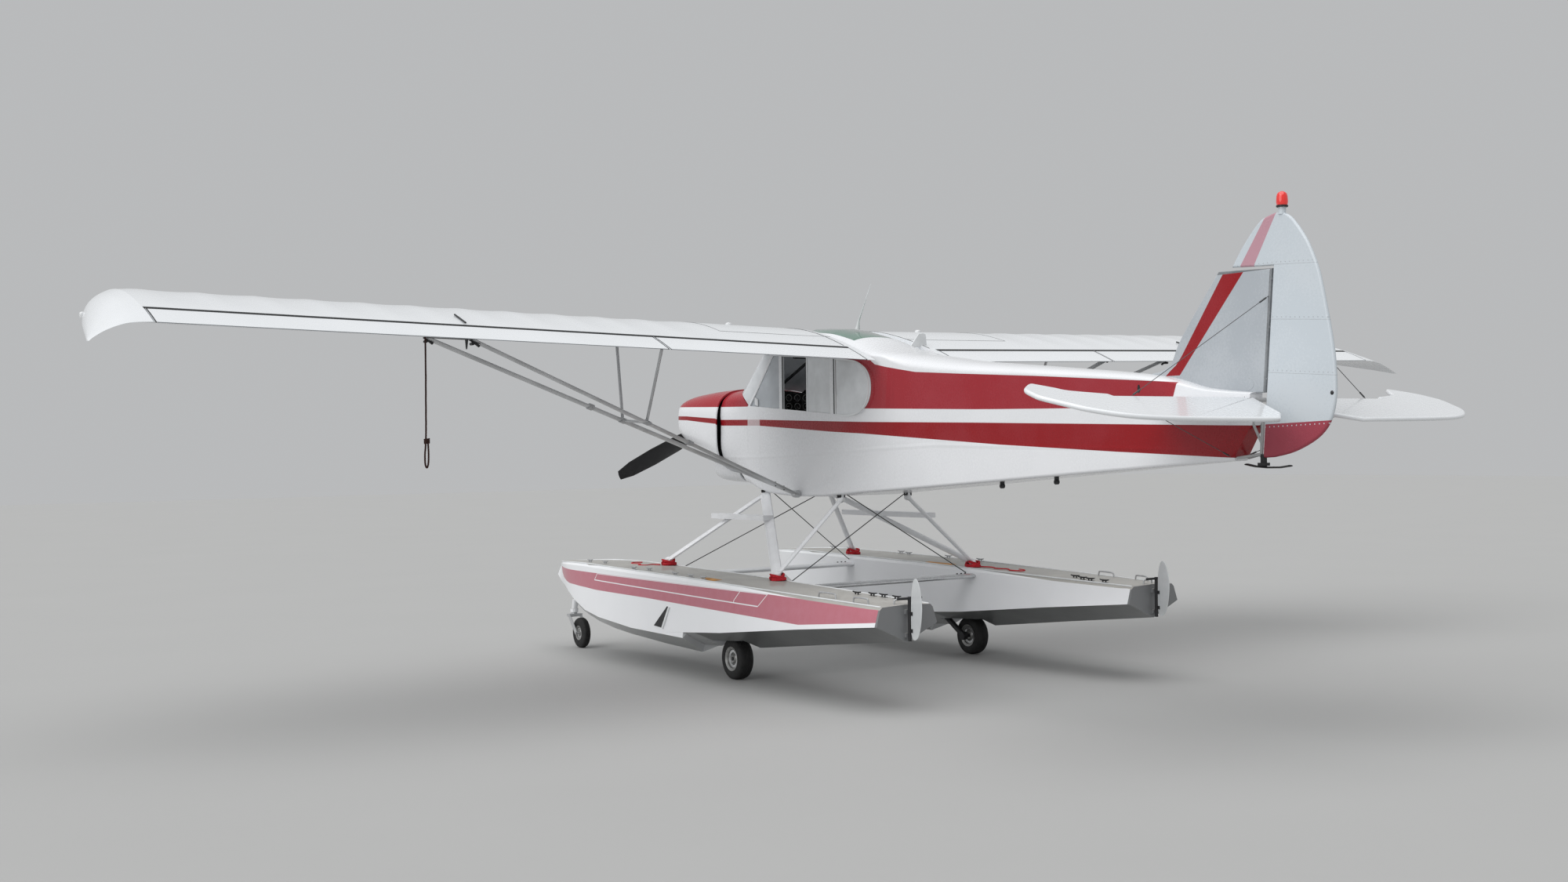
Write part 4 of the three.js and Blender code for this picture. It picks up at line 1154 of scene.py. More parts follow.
@dataclass
class TieDownRope:
    """The rope that hangs from the port rear lift strut, tied back to itself in a loop."""

    diameter: float = 0.012
    strands: int = 3
    lay_length: float = 0.05
    route: tuple[Point, ...] = (
        (3.478, 1.0, 2.46428), (3.478, 1.0, 2.25), (3.48, 1.001, 2.05), (3.481, 1.0, 1.86),
        (3.485, 1.0, 1.76), (3.49, 1.0, 1.7), (3.489, 1.0, 1.64), (3.479, 1.0, 1.614),
        (3.469, 1.0, 1.638), (3.466, 1.0, 1.7), (3.468, 1.0, 1.76), (3.469, 1.0, 1.775),
    )

    def line(self) -> list[Vector]:
        """The rope's middle line, in small steps."""
        return [at(x, y, z) for x, y, z in smooth_run(self.route, 14)]

    def rope(self, points: list[Vector], across: Vector = Vector((0, 1, 0))) -> Shape:
        """Three strands twisted together, as one skin with three lobes that turn along it.

        Args:
            points: Its middle line.
            across: A direction that the line never runs along.

        Returns:
            The skin.
        """
        sides, lobe = 15, 0.14
        rings, travelled = [], 0.0
        for i, point in enumerate(points):
            before, after = points[max(i - 1, 0)], points[min(i + 1, len(points) - 1)]
            travelled += (point - before).length
            along = (after - before).normalized()
            wide = (across - along * along.dot(across)).normalized()
            thin = along.cross(wide)
            turn = tau * travelled / self.lay_length
            ring = []
            for k in range(sides):
                angle = tau * k / sides
                r = self.diameter / 2 * (1 - lobe + lobe * abs(cos(self.strands / 2 * (angle - turn))))
                ring.append(point + wide * (r * cos(angle)) + thin * (r * sin(angle)))
            rings.append(ring)
        return loft(rings)

    def knot(self) -> Shape:
        """The turns that bind the rope's end to its standing part.

        Returns:
            The turns.
        """
        turns, steps = 3.5, 60
        middle = at(3.4765, 1.0, 1.772)
        points = []
        for k in range(steps + 1):
            angle = tau * turns * k / steps
            rise = 0.03 * k / steps
            points.append(middle + Vector((0.0155 * cos(angle), 0.0105 * sin(angle), rise)))
        return tube(points, 0.0048, 10)

    def build(self, shop: Workshop) -> None:
        """Makes the rope and its knot.

        Args:
            shop: The workshop that finishes the pieces.
        """
        points = self.line()
        knot = shop.piece("tie_down_knot", self.knot(), "rope_brown", crisp=80)
        rope = shop.piece("tie_down_cord", self.rope(points), "rope_brown", replaces=["tie_down_rope"],
                          crisp=80)


@dataclass
class Aerofoil:
    """The wing's section: a flat lower face under a curved back."""

    chord: float = 1.6
    root: float = 0.348
    tip: float = 5.24
    lead: tuple[float, float] = (2.482, 2.572)
    trail: tuple[float, float] = (2.348, 2.46)
    first_rib: float = 0.408
    last_rib: float = 5.1
    rib_pitch: float = 0.335
    tank_end: float = 1.413
    sag: float = 0.006
    skin: tuple = (
        (0.0, 0.03, 0.03), (0.012, 0.058, 0.014), (0.04, 0.083, 0.006), (0.1, 0.11, 0.001), (0.2, 0.127, 0.0),
        (0.36, 0.13, 0.0), (0.5, 0.12, 0.0), (0.65, 0.096, 0.0), (0.8, 0.063, 0.0), (0.9, 0.036, 0.0),
        (1.0, 0.003, 0.0),
    )

    def __post_init__(self) -> None:
        """Works the section out finely once."""
        self.fine = smooth_run(self.skin, 8)

    def low(self, x: float, station: float) -> float:
        """The height of the flat lower face."""
        t = (x - self.root) / (self.tip - self.root)
        return lerp(lerp(*self.lead, t), lerp(*self.trail, t), station / self.chord)

    def bay(self, x: float) -> float:
        """How far between two ribs a place is: 0 on a rib, 1 in mid bay."""
        t = (x - self.first_rib) / self.rib_pitch % 1
        return 4 * t * (1 - t) if self.tank_end < x < self.last_rib else 0.0

    def upper(self, x: float, share: float, swell: float = 1.0) -> float:
        """The height of the cloth over the lower face, at a share of the chord."""
        slack = self.sag * self.bay(x) * min(share / 0.06, 1.0) * min(max((0.81 - share) / 0.2, 0.0), 1.0)
        return read(self.fine, share, 1) * self.chord * swell - slack

    def under(self, x: float, share: float, swell: float = 1.0) -> float:
        """The height of the lower cloth over the flat lower face."""
        slack = 0.5 * self.sag * self.bay(x) * min(share / 0.1, 1.0) * min((1 - share) / 0.1, 1.0)
        return read(self.fine, share, 2) * self.chord * swell + slack


def spread(count: int, start: float = 0.0, end: float = 1.0) -> list[float]:
    """Shares from start to end, close together near the start."""
    return [start + (end - start) * (1 - cos(pi / 2 * i / count)) for i in range(count + 1)]


@dataclass
class Wing:
    """One wing with its flap and aileron, in doped cloth over ribs."""

    side: Side
    section: Aerofoil = field(default_factory=Aerofoil)
    hinge: float = 1.362
    hinge_up: float = 0.04
    cove: float = 0.05
    nose: float = 0.044
    split: float = 2.024
    aileron_end: float = 5.232
    gap: float = 0.009
    hinges: tuple = (0.694, 1.244, 1.844, 2.294, 3.594, 4.894)
    # The width of the strip ahead of the cove that takes painted shade; a surface's nose strip in painted
    # shade is seven tenths of it.
    lip: float = 0.022
    rim: float = 0.008
    upper_steps: int = 20
    lower_steps: int = 12
    cap: Point = (0.9, 0.42, 0.128)
    cap_section: tuple = ((0.0, 0.0), (0.026, 0.0), (0.026, 0.01), (0.017, 0.019), (0.0, 0.021))
    lamp_foot: Point = (5.405, 0.56, 2.566)
    lamp_section: tuple = ((0.0, -0.018), (0.012, -0.018), (0.017, 0.0), (0.014, 0.016), (0.0, 0.022))
    # Distance out and station of the corners of the tank cover's seam.
    tank_seam: tuple = ((1.3, 0.08), (1.33, 1.046), (0.664, 1.03), (0.357, 1.01))
    root_seam: tuple = (0.06, 0.87, 1.296)
    rod: tuple = ((3.297, 1.044), (3.322, 1.296))
    horn_at: tuple[float, float] = (3.345, 3.351)
    # Station, then the height over the lower face.
    horn_edge: tuple = ((1.352, 0.006), (1.402, 0.004), (1.378, -0.066), (1.368, -0.066))
    # Columns: distance out, front, back, droop, swell.
    tip_rows: tuple = (
        (4.98, 0.0, 1.6, 0.0, 1.0), (5.08, 0.008, 1.6, 0.0, 1.0), (5.16, 0.036, 1.6, 0.0, 0.985),
        (5.24, 0.105, 1.6, 0.0, 0.94), (5.31, 0.225, 1.604, 0.005, 0.8), (5.37, 0.39, 1.61, 0.014, 0.62),
        (5.43, 0.69, 1.62, 0.034, 0.42), (5.49, 1.05, 1.634, 0.062, 0.23), (5.545, 1.42, 1.654, 0.097, 0.09),
        (5.575, 1.62, 1.675, 0.121, 0.04),
    )

    def spans(self, start: float, end: float) -> list[float]:
        """Places along the span, with one at each rib and a narrow stretch at each end.

        Args:
            start: The inner end.
            end: The outer end.

        Returns:
            The places.
        """
        inner = [self.section.first_rib + self.section.rib_pitch / 6 * k for k in range(100)]
        inner = [x for x in inner if start + 0.015 < x < end - 0.015]
        return [start, start + self.rim, *inner, end - self.rim, end]

    def row(self, x: float) -> list[float]:
        """The tip table's row at a place along the span."""
        return [x, *(read(self.tip_rows, x, column) for column in range(1, 5))]

    def ring(self, x: float, front: float = 0.0, back: float = 1.6, droop: float = 0.0,
             swell: float = 1.0) -> list[Vector]:
        """The whole section at a place along the span.

        Args:
            x: Distance to port.
            front: The front edge's station.
            back: The trailing edge's station.
            droop: How far it hangs below the lower face.
            swell: How thick the section is, 1 for all of it.

        Returns:
            The ring.
        """
        length = back - front
        skin = [(share, self.section.upper(x, share, swell)) for share in reversed(spread(self.upper_steps))]
        skin += [(share, self.section.under(x, share, swell)) for share in spread(self.lower_steps)[1:]]
        return [at(x, front + c * length, self.section.low(x, front + c * length) + h - droop)
                for c, h in skin]

    def meeting(self, x: float, radius: float) -> tuple[float, float]:
        """Stations where a circle about the hinge meets the upper and the lower cloth.

        Args:
            x: Distance to port.
            radius: The circle's radius.

        Returns:
            Both stations.
        """
        near, far = self.hinge - radius, self.hinge
        for _ in range(30):
            middle = (near + far) / 2
            up = self.cloth(x, middle) - self.hinge_up
            near, far = (middle, far) if hypot(middle - self.hinge, up) > radius else (near, middle)
        return near, self.hinge - sqrt(radius**2 - self.hinge_up**2)

    def cloth(self, x: float, station: float, top: bool = True) -> float:
        """The height of the upper or the lower cloth over the flat lower face.

        Args:
            x: Distance to port.
            station: Its station.
            top: Whether the upper cloth is meant.

        Returns:
            The height.
        """
        _, front, back, _, swell = self.row(x)
        height = self.section.upper if top else self.section.under
        return height(x, (station - front) / (back - front), swell)

    def arc(self, x: float, radius: float, top: float, foot: float) -> list[Vector]:
        """The round of the cove or of a surface's nose, from its top to its foot.

        Args:
            x: Distance to port.
            radius: The round's radius.
            top: The station where it meets the upper cloth.
            foot: The station where it meets the lower cloth.

        Returns:
            The round's points.
        """
        base = self.section.low(x, self.hinge)
        first = atan2(self.cloth(x, top) - self.hinge_up, top - self.hinge)
        last = atan2(-self.hinge_up, foot - self.hinge) + tau
        points = []
        for k in range(1, 10):
            angle = lerp(first, last, k / 10)
            points.append(at(x, self.hinge + radius * cos(angle), base + self.hinge_up + radius * sin(angle)))
        return points

    def skin(self, x: float, stations: Iterable[float], top: bool) -> list[Vector]:
        """Points of the upper or the lower cloth."""
        return [at(x, y, self.section.low(x, y) + self.cloth(x, y, top)) for y in stations]

    def panel_ring(self, x: float) -> list[Vector]:
        """The section ahead of the cove, from the edge over the cove forward and back underneath.

        Args:
            x: Distance to port.

        Returns:
            The ring.
        """
        front = self.row(x)[1]
        top, foot = self.meeting(x, self.cove)
        upper = [top, *(front + s * (top - self.lip - front) for s in reversed(spread(self.upper_steps)))]
        lower = [front + s * (foot - front) for s in spread(self.lower_steps)[1:]]
        arc = self.arc(x, self.cove, top, foot)[::-1]
        return self.skin(x, upper, True) + self.skin(x, lower, False) + arc

    def surface_ring(self, x: float) -> list[Vector]:
        """The section of a flap or an aileron, from the trailing edge over the nose and back.

        Args:
            x: Distance to port.

        Returns:
            The ring.
        """
        top, foot = self.meeting(x, self.nose)
        rim = top + self.lip * 0.7
        upper = [lerp(1.6, rim, k / 8) for k in range(9)] + [top]
        lower = [lerp(foot, 1.6, k / 8) for k in range(9)]
        return self.skin(x, upper, True) + self.arc(x, self.nose, top, foot) + self.skin(x, lower, False)

    def panel(self) -> Shape:
        """The fixed wing: the root, the long part ahead of the cove, and the drooping tip.

        Returns:
            The wing's skin.
        """
        start = self.section.first_rib
        root = loft([self.ring(x) for x in (self.section.root, self.section.root + 0.03, start)])
        spans = self.spans(start, self.aileron_end)
        arc_start = self.upper_steps + 2 + self.lower_steps
        # The strip ahead of the cove and the cove itself take painted shade.
        middle = loft([self.panel_ring(x) for x in spans],
                      mark=lambda row, column: int(column == 0 or column >= arc_start - 1))
        rows = [self.row(self.aileron_end), *(row for row in self.tip_rows if row[0] > self.aileron_end)]
        tip = loft([self.ring(*row) for row in smooth_run(rows, 5)])
        shape = root + middle + tip
        for x in self.hinges:
            base = self.section.low(x, self.hinge) + self.hinge_up
            shape += tube([at(x, self.hinge - 0.06, base), at(x, self.hinge - self.nose - 0.0004, base)],
                          0.008, 10)
        return shape

    def surface(self, start: float, end: float) -> Shape:
        """A flap or an aileron, with painted shade on its end strips and its nose, and on its trailing edge's
        face.

        Args:
            start: Its inner end's distance out.
            end: Its outer end's distance out.

        Returns:
            Its skin.
        """
        spans = self.spans(start, end)
        last = len(spans) - 2
        # The end strips, the nose strip and the nose take painted shade, and the trailing edge's face the
        # painted shade of the underside.
        return loft([self.surface_ring(x) for x in spans],
                    mark=lambda row, column: 1 if 8 <= column <= 18 or row in (0,
                                                                               last) else 2 * (column >= 27))

    def cloth_point(self, x: float, station: float, lift: float = 0.0) -> Vector:
        """A point of the upper cloth, lifted off it."""
        return at(x, station, self.section.low(x, station) + self.cloth(x, station) + lift)

    def trim(self) -> Shape:
        """The cap on the tank.

        Returns:
            The cap.
        """
        x, station, share = self.cap
        height = self.section.low(x, station) + share * self.section.chord + 0.002
        return turned(self.cap_section, at(x, station, height), "Z", 24)

    def seam(self, points: Outline, radius: float = 0.003) -> Shape:
        """A dark line that lies on the upper cloth, by distance out and station.

        Args:
            points: The seam's corners, by distance out and station.
            radius: Half its width.

        Returns:
            The line.
        """
        fine = []
        for (x0, y0), (x1, y1) in pairwise(points):
            steps = max(int(hypot(x1 - x0, y1 - y0) / 0.04), 1)
            fine += [(lerp(x0, x1, k / steps), lerp(y0, y1, k / steps)) for k in range(steps)]
        fine.append(points[-1])
        return tube([self.cloth_point(x, y, -0.001) for x, y in fine], radius, 8, across=Vector((1, 1, 0)))

    def seams(self) -> Shape:
        """The tank cover's seams, the line of the root fairing and the rod beside the aileron's horn.

        Returns:
            The lines and the rod.
        """
        x = 0.402 if self.side is Side.PORT else 0.353
        front, bend, back = self.root_seam
        shape = self.seam(self.tank_seam, 0.0022)
        shape += self.seam([(x, front), (x, bend), (x + 0.02, back)], 0.0032)
        return shape + tube([self.cloth_point(*spot, 0.008) for spot in self.rod], 0.006, 10)

    def horn(self) -> Shape:
        """The aileron's horn below the wing."""
        base = self.section.low(sum(self.horn_at) / 2, 1.37)
        return plate(upright, [(y, base + z) for y, z in self.horn_edge], *self.horn_at)

    def lamp(self) -> Shape:
        """The small lamp on the tip."""
        return turned(self.lamp_section, at(*self.lamp_foot), "Z", 20)

    def build(self, shop: Workshop) -> None:
        """Makes the wing's pieces on their bodies.

        Args:
            shop: The workshop that finishes the pieces.
        """
        word = self.side.word
        # The second and third finishes carry painted shade.
        cloth = ["wing_fabric", "gap_black", "trailing_grey"]
        shop.piece(f"wing_skin_{word}", self.panel().sided(self.side), cloth, replaces=[f"wing_{word}"],
                   crisp=45)
        half = self.gap / 2
        for name, start, end in (("flap", self.section.first_rib + self.gap, self.split - half),
                                 ("aileron", self.split + half, self.aileron_end - self.gap)):
            node = f"{name}_{word}"
            shop.piece(f"{name}_skin_{word}", self.surface(start, end).sided(self.side), cloth, node, [node],
                       crisp=45)
        shop.piece(f"wing_cap_{word}", self.trim().sided(self.side), "white_plastic", crisp=60)
        shop.piece(f"wing_seams_{word}", self.seams().sided(self.side), "gap_black", crisp=60)
        shop.piece(f"aileron_horn_{word}", self.horn().sided(self.side), "gap_black", f"aileron_{word}",
                   bevel=0.001)
        shop.piece(f"tip_lamp_{word}", self.lamp().sided(self.side), "white_plastic", crisp=60)


@dataclass
class LiftStruts:
    """The streamlined lift struts of one side, with their jury struts, fork ends and clamps."""

    side: Side
    section: Aerofoil = field(default_factory=Aerofoil)
    root: Point = (0.3754, 0.526, 1.352)
    front_top: tuple[float, float] = (3.212, 0.27)
    rear_top: tuple[float, float] = (3.178, 1.03)
    jury_x: float = 1.79
    jury_tops: tuple = ((1.766, 0.27), (1.79, 1.03))
    # Share of the strut's length at its clamp, half width of the clamp: front, then rear.
    clamps: tuple = ((0.585, 0.0495), (0.37, 0.0415))

    def under(self, x: float, station: float) -> Vector:
        """A point on the wing's lower face."""
        return at(x, station, self.section.low(x, station) - 0.0006)

    def part(self, start: Vector, end: Vector, x: float) -> Vector:
        """The point of a strut at a distance to port."""
        return start.lerp(end, (x - start.x) / (end.x - start.x))

    def collar(self, middle: Vector, along: Vector, half: float, wide: float, flat: float) -> Shape:
        """A clamp round a strut."""
        reach = along.normalized() * half
        return tube([middle - reach, middle + reach], wide, 20, flat)

    def pin(self, middle: Vector, reach: Vector, radius: float, sides: int) -> Shape:
        """A pin through a fitting."""
        return tube([middle - reach, middle + reach], radius, sides)

    def build(self, shop: Workshop) -> None:
        """Makes the struts and their dark clamps.

        Args:
            shop: The workshop that finishes the pieces.
        """
        root = at(*self.root)
        front, rear = self.under(*self.front_top), self.under(*self.rear_top)
        shape = tube([root, front], 0.048, 28, 0.36, fair=0.5) + tube([root, rear], 0.04, 28, 0.38, fair=0.5)
        front_mid, rear_mid = self.part(root, front, self.jury_x), self.part(root, rear, self.jury_x)
        for middle, top in ((front_mid, self.jury_tops[0]), (rear_mid, self.jury_tops[1])):
            shape += tube([middle, self.under(*top)], 0.011, 16)
        shape += tube([front_mid, rear_mid], 0.01, 16)
        shape += turned([(0.0, -0.026), (0.03, -0.026), (0.03, 0.026), (0.0, 0.026)], root, "Y", 24)
        word = self.side.word
        node = f"lift_struts_{word}"
        shop.piece(f"lift_strut_tubes_{word}", shape.sided(self.side), "strut_grey", replaces=[node],
                   crisp=50)
        collars = Shape()
        for top, middle, (share, wide) in zip((front, rear), (front_mid, rear_mid), self.clamps):
            collars += self.collar(root.lerp(top, share), top - root, 0.016, wide, 0.46)
            collars += self.collar(middle, top - root, 0.018, wide, 0.42)
        shop.piece(f"strut_clamps_{word}", collars.sided(self.side), "deck_metal", crisp=50)
        dark = total(self.pin(middle, Vector((0, 0.02, 0)), 0.006, 8) for middle in (front_mid, rear_mid))
        for top in (front, rear):
            dark += self.pin(top - Vector((0, 0, 0.03)), Vector((0, 0.02, 0)), 0.01, 14)
            dark += tube([top + Vector((-0.05, 0, -0.045)), top + Vector((0.012, 0, -0.001))], 0.014, 16, 0.6)
        dark += tube([front, rear], 0.006, 8)
        dark += total(self.pin(root.lerp(rear, share), Vector((0, 0, 0.018)), 0.005, 8) for share in (0.045,
                                                                                                      0.075))
        shop.piece(f"strut_fittings_{word}", dark.sided(self.side), "dark_metal", crisp=50)


@dataclass
class Tail:
    """Fin, rudder with its beacon, stabilizer halves with their wires, and the drooped elevator."""

    thick: float = 0.028
    lean: float = 0.0891
    hinge_foot: tuple[float, float] = (5.13, 1.91)
    elevator_axis: tuple[float, float] = (5.062, 1.96)
    droop: float = 15.0
    beacon: tuple[float, float] = (5.256, 3.078)
    lens_section: tuple = (
        (0.0, 0.0004), (0.031, 0.0004), (0.035, 0.017), (0.0345, 0.035), (0.033, 0.052), (0.029, 0.066),
        (0.022, 0.074), (0.011, 0.08), (0.0, 0.082),
    )
    lens_ring: tuple = ((0.0, -0.011), (0.033, -0.011), (0.036, -0.004), (0.033, 0.0006), (0.0, 0.0006))
    light_at: tuple[float, float] = (5.62, 1.983)
    light_section: tuple = ((0.0, -0.019), (0.012, -0.015), (0.019, 0.0), (0.012, 0.015), (0.0, 0.019))
    wire_root: tuple[float, float] = (1.0, 5.03)
    leaf: tuple = ((4.958, 1.58), (5.03, 1.568), (5.12, 1.562), (5.22, 1.563), (5.29, 1.572))
    fairleads: tuple[Point, ...] = ((0.13, 2.803, 1.432), (0.11, 3.354, 1.464))
    # Station and height of the middle, then half the length and half the height.
    plate_oval: tuple = (4.965, 2.052, 0.066, 0.04)
    slot_oval: tuple = (4.161, 2.054, 0.011, 0.026)
    fin_front: tuple = ((4.13, 2.146), (4.24, 2.16), (4.31, 2.185), (4.352, 2.225), (4.437, 2.368),
                        (4.752, 2.738))
    rudder_edge: tuple = (
        (4.862, 2.752), (4.949, 2.868), (5.076, 2.995), (5.16, 3.03), (5.245, 3.042), (5.31, 3.018),
        (5.359, 2.975), (5.42, 2.9), (5.473, 2.815), (5.534, 2.672), (5.587, 2.455), (5.631, 2.23),
        (5.645, 2.043), (5.635, 1.92), (5.593, 1.811), (5.501, 1.726), (5.337, 1.654), (5.18, 1.622),
    )
    stab_edge: tuple = (
        (0.12, 4.372), (0.5, 4.446), (0.9, 4.556), (1.08, 4.65), (1.14, 4.745), (1.141, 4.9),
    )
    # The elevator's rim: distance out, then distance behind the hinge line.
    horn: tuple = (
        (1.15, -0.06), (1.37, -0.128), (1.42, -0.19), (1.48, -0.26), (1.52, -0.29), (1.59, -0.237),
        (1.665, -0.156), (1.695, -0.05), (1.7, 0.02), (1.645, 0.15), (1.56, 0.3), (1.36, 0.43),
        (0.984, 0.479), (0.354, 0.496), (0.222, 0.38), (0.076, 0.048),
    )

    def hinge_at(self, height: float) -> float:
        """The station of the rudder's hinge line at a height."""
        return self.hinge_foot[0] + (height - self.hinge_foot[1]) * self.lean

    def skin(self, place: Callable[[float, float, float], Vector], outline: Outline,
             middle: float = 0.0) -> Shape:
        """A thin covered frame whose rim is a round tube and whose cloth lies flat between.

        Args:
            place: Turns plane coordinates into a point.
            outline: The outline's points in order.
            middle: The plane's own distance across.

        Returns:
            The covered frame.
        """
        half, covers = self.thick / 2, Shape()
        turns = [(half * (1 - cos(a)), half * sin(a)) for a in (pi / 2 * k / 4 for k in range(5))]
        for way in (1, -1):
            cover = loft([[place(u, v, middle + way * rise) for u, v in inside(outline, inset)]
                          for inset, rise in turns], capped=False)
            cover.faces.append(tuple(range(len(cover.points) - len(outline), len(cover.points))))
            cover.marks.append(0)
            covers += cover
        return covers

    def fin(self) -> Shape:
        """The fixed fin with its three hinge lugs.

        Returns:
            Its skin with its lugs.
        """
        front = smooth_run(self.fin_front, 4)
        outline = [*map(tuple, front), (self.hinge_at(2.722) - 0.02, 2.722), (self.hinge_at(2.0) - 0.02, 2.0),
                   (4.7, 1.99), (4.3, 2.05)]
        shape = self.skin(upright, outline)
        for z in (2.08, 2.38, 2.66):
            shape += tube([at(0, self.hinge_at(z) - 0.03, z), at(0, self.hinge_at(z) - 0.0145, z)], 0.009, 12)
        return shape

    def rudder(self) -> Shape:
        """The rudder, from its horn over the fin to its foot.

        Returns:
            Its skin with the beacon's leg.
        """
        rim = [tuple(p) for p in smooth_run(self.rudder_edge, 4)]
        outline = [*rim, (self.hinge_at(1.618) - 0.012, 1.618), (self.hinge_at(2.735) - 0.012, 2.735)]
        leg = tube([at(0, self.beacon[0], 3.026), at(0, self.beacon[0], self.beacon[1])], 0.022, 24)
        return self.skin(upright, outline) + leg

    def lens(self) -> Shape:
        """The beacon's ribbed red glass."""
        return turned(self.lens_section, at(0, *self.beacon), "Z", 32)

    def stabilizer(self) -> Shape:
        """The port half of the stabilizer, with three hinge fittings.

        Returns:
            Its skin.
        """
        back = self.elevator_axis[0] - 0.021
        front = [tuple(p) for p in smooth_run(self.stab_edge, 4)]
        outline = [*front, (1.141, back), (0.058, back)]
        shape = self.skin(level, outline, self.elevator_axis[1])
        half = self.thick / 2
        for x in (0.18, 0.62, 1.04):
            shape += tube([at(x, back - 0.004, 1.96), at(x, self.elevator_axis[0] - half - 0.0004, 1.96)],
                          0.008, 12)
        return shape

    def wires(self) -> Shape:
        """The port pair of bracing wires, to the fin above and to the cone below.

        Returns:
            The wires.
        """
        half, height = self.thick / 2, self.elevator_axis[1]
        lower = self.wire(at(*self.wire_root, height - half + 0.001), at(0.0705, 4.89, 1.628))
        return lower + self.wire(at(*self.wire_root, height + half - 0.001), at(half + 0.002, 5.155, 2.56))

    def wire(self, start: Vector, end: Vector) -> Shape:
        """A streamlined bracing wire with a turnbuckle at each end.

        Args:
            start: One end.
            end: The other end.

        Returns:
            The wire.
        """
        along = (end - start).normalized()
        line = tube([start, end], 0.0032, 12, 0.55)
        ends = [(start + along * 0.02, start + along * 0.075), (end - along * 0.075, end - along * 0.02)]
        return line + total(tube([a, b], 0.0052, 12) for a, b in ends)

    def elevator(self) -> Shape:
        """The port half of the elevator, drooped about its axis.

        Returns:
            Its skin.
        """
        y, z = self.elevator_axis
        rim = [tuple(p) for p in smooth_run(self.horn[:-2], 4)] + list(self.horn[-2:])
        outline = [(0.052, 0.0), (0.052, -0.012), (1.15, -0.012), *rim]
        shape = self.skin(level, [(x, y + d) for x, d in outline], z)
        about = at(0, y, z)
        return shape.turned(Matrix.Rotation(radians(-self.droop), 3, "X"), about)

    def fittings(self) -> Shape:
        """The leaf of the tail's bumper, the slot in the cone's side, the trim's hole and two fairleads.

        Returns:
            The fittings.
        """
        shape = tube([at(0, y, z) for y, z in self.leaf], 0.026, 16, 0.22, Vector((1, 0, 0)))
        shape += box((-0.013, 5.075, 1.566), (0.013, 5.103, 1.64)) + box((-0.022, 5.06, 1.572),
                                                                         (0.022, 5.118, 1.59))
        shape += plate(upright, ellipse(*self.slot_oval, 0.3), 0.1165, 0.1195).both()
        shape += turned([(0.0, -0.004), (0.013, -0.004), (0.013, 0.002), (0.0, 0.002)],
                        at(0.0545, 4.985, 1.975), "X", 20)
        for x, y, z in self.fairleads:
            shape += tube([at(x - 0.012, y, z), at(x + 0.012, y, z)], 0.017, 16)
            shape += box((x - 0.016, y - 0.006, z - 0.004), (x + 0.016, y + 0.006, z + 0.046))
        return shape

    def rudder_trim(self) -> Shape:
        """The tail light and the dark ring under the beacon, which turn with the rudder."""
        light = turned(self.light_section, at(0, *self.light_at), "X", 20)
        return light + turned(self.lens_ring, at(0, *self.beacon), "Z", 28)

    def patch(self) -> Shape:
        """The round inspection plate at the fin's foot, on both sides."""
        near, far = self.thick / 2 - 0.001, self.thick / 2 + 0.0012
        return plate(upright, ellipse(*self.plate_oval, 0.15), near, far).both()

    def build(self, shop: Workshop) -> None:
        """Makes the tail's pieces on their bodies.

        Args:
            shop: The workshop that finishes the pieces.
        """
        shop.piece("fin_skin", self.fin(), "fin_paint", replaces=["fin"], crisp=50)
        shop.piece("rudder_skin", self.rudder(), "rudder_paint", "rudder", ["rudder"], crisp=50)
        shop.piece("beacon_glass", self.lens(), "red_lens", "rudder", ["beacon"], crisp=50)
        for side in Side:
            word = side.word
            shop.piece(f"stabilizer_skin_{word}", self.stabilizer().sided(side), "wing_fabric",
                       replaces=[f"stabilizer_{word}"], crisp=50)
            shop.piece(f"elevator_skin_{word}", self.elevator().sided(side), "wing_fabric", "elevator",
                       [f"elevator_{word}"], crisp=50)
        shop.dress("elevator_tube", "strut_grey")
        shop.dress("tail_truss", "tail_tube", 0.0008)
        shop.piece("tail_wires", self.wires().both(), "cable", crisp=60)
        shop.piece("tail_fittings", self.fittings(), "dark_metal", crisp=50)
        shop.piece("inspection_plate", self.patch(), "fin_paint", crisp=50)
        shop.piece("tail_light", self.rudder_trim(), "dark_metal", "rudder", crisp=60)


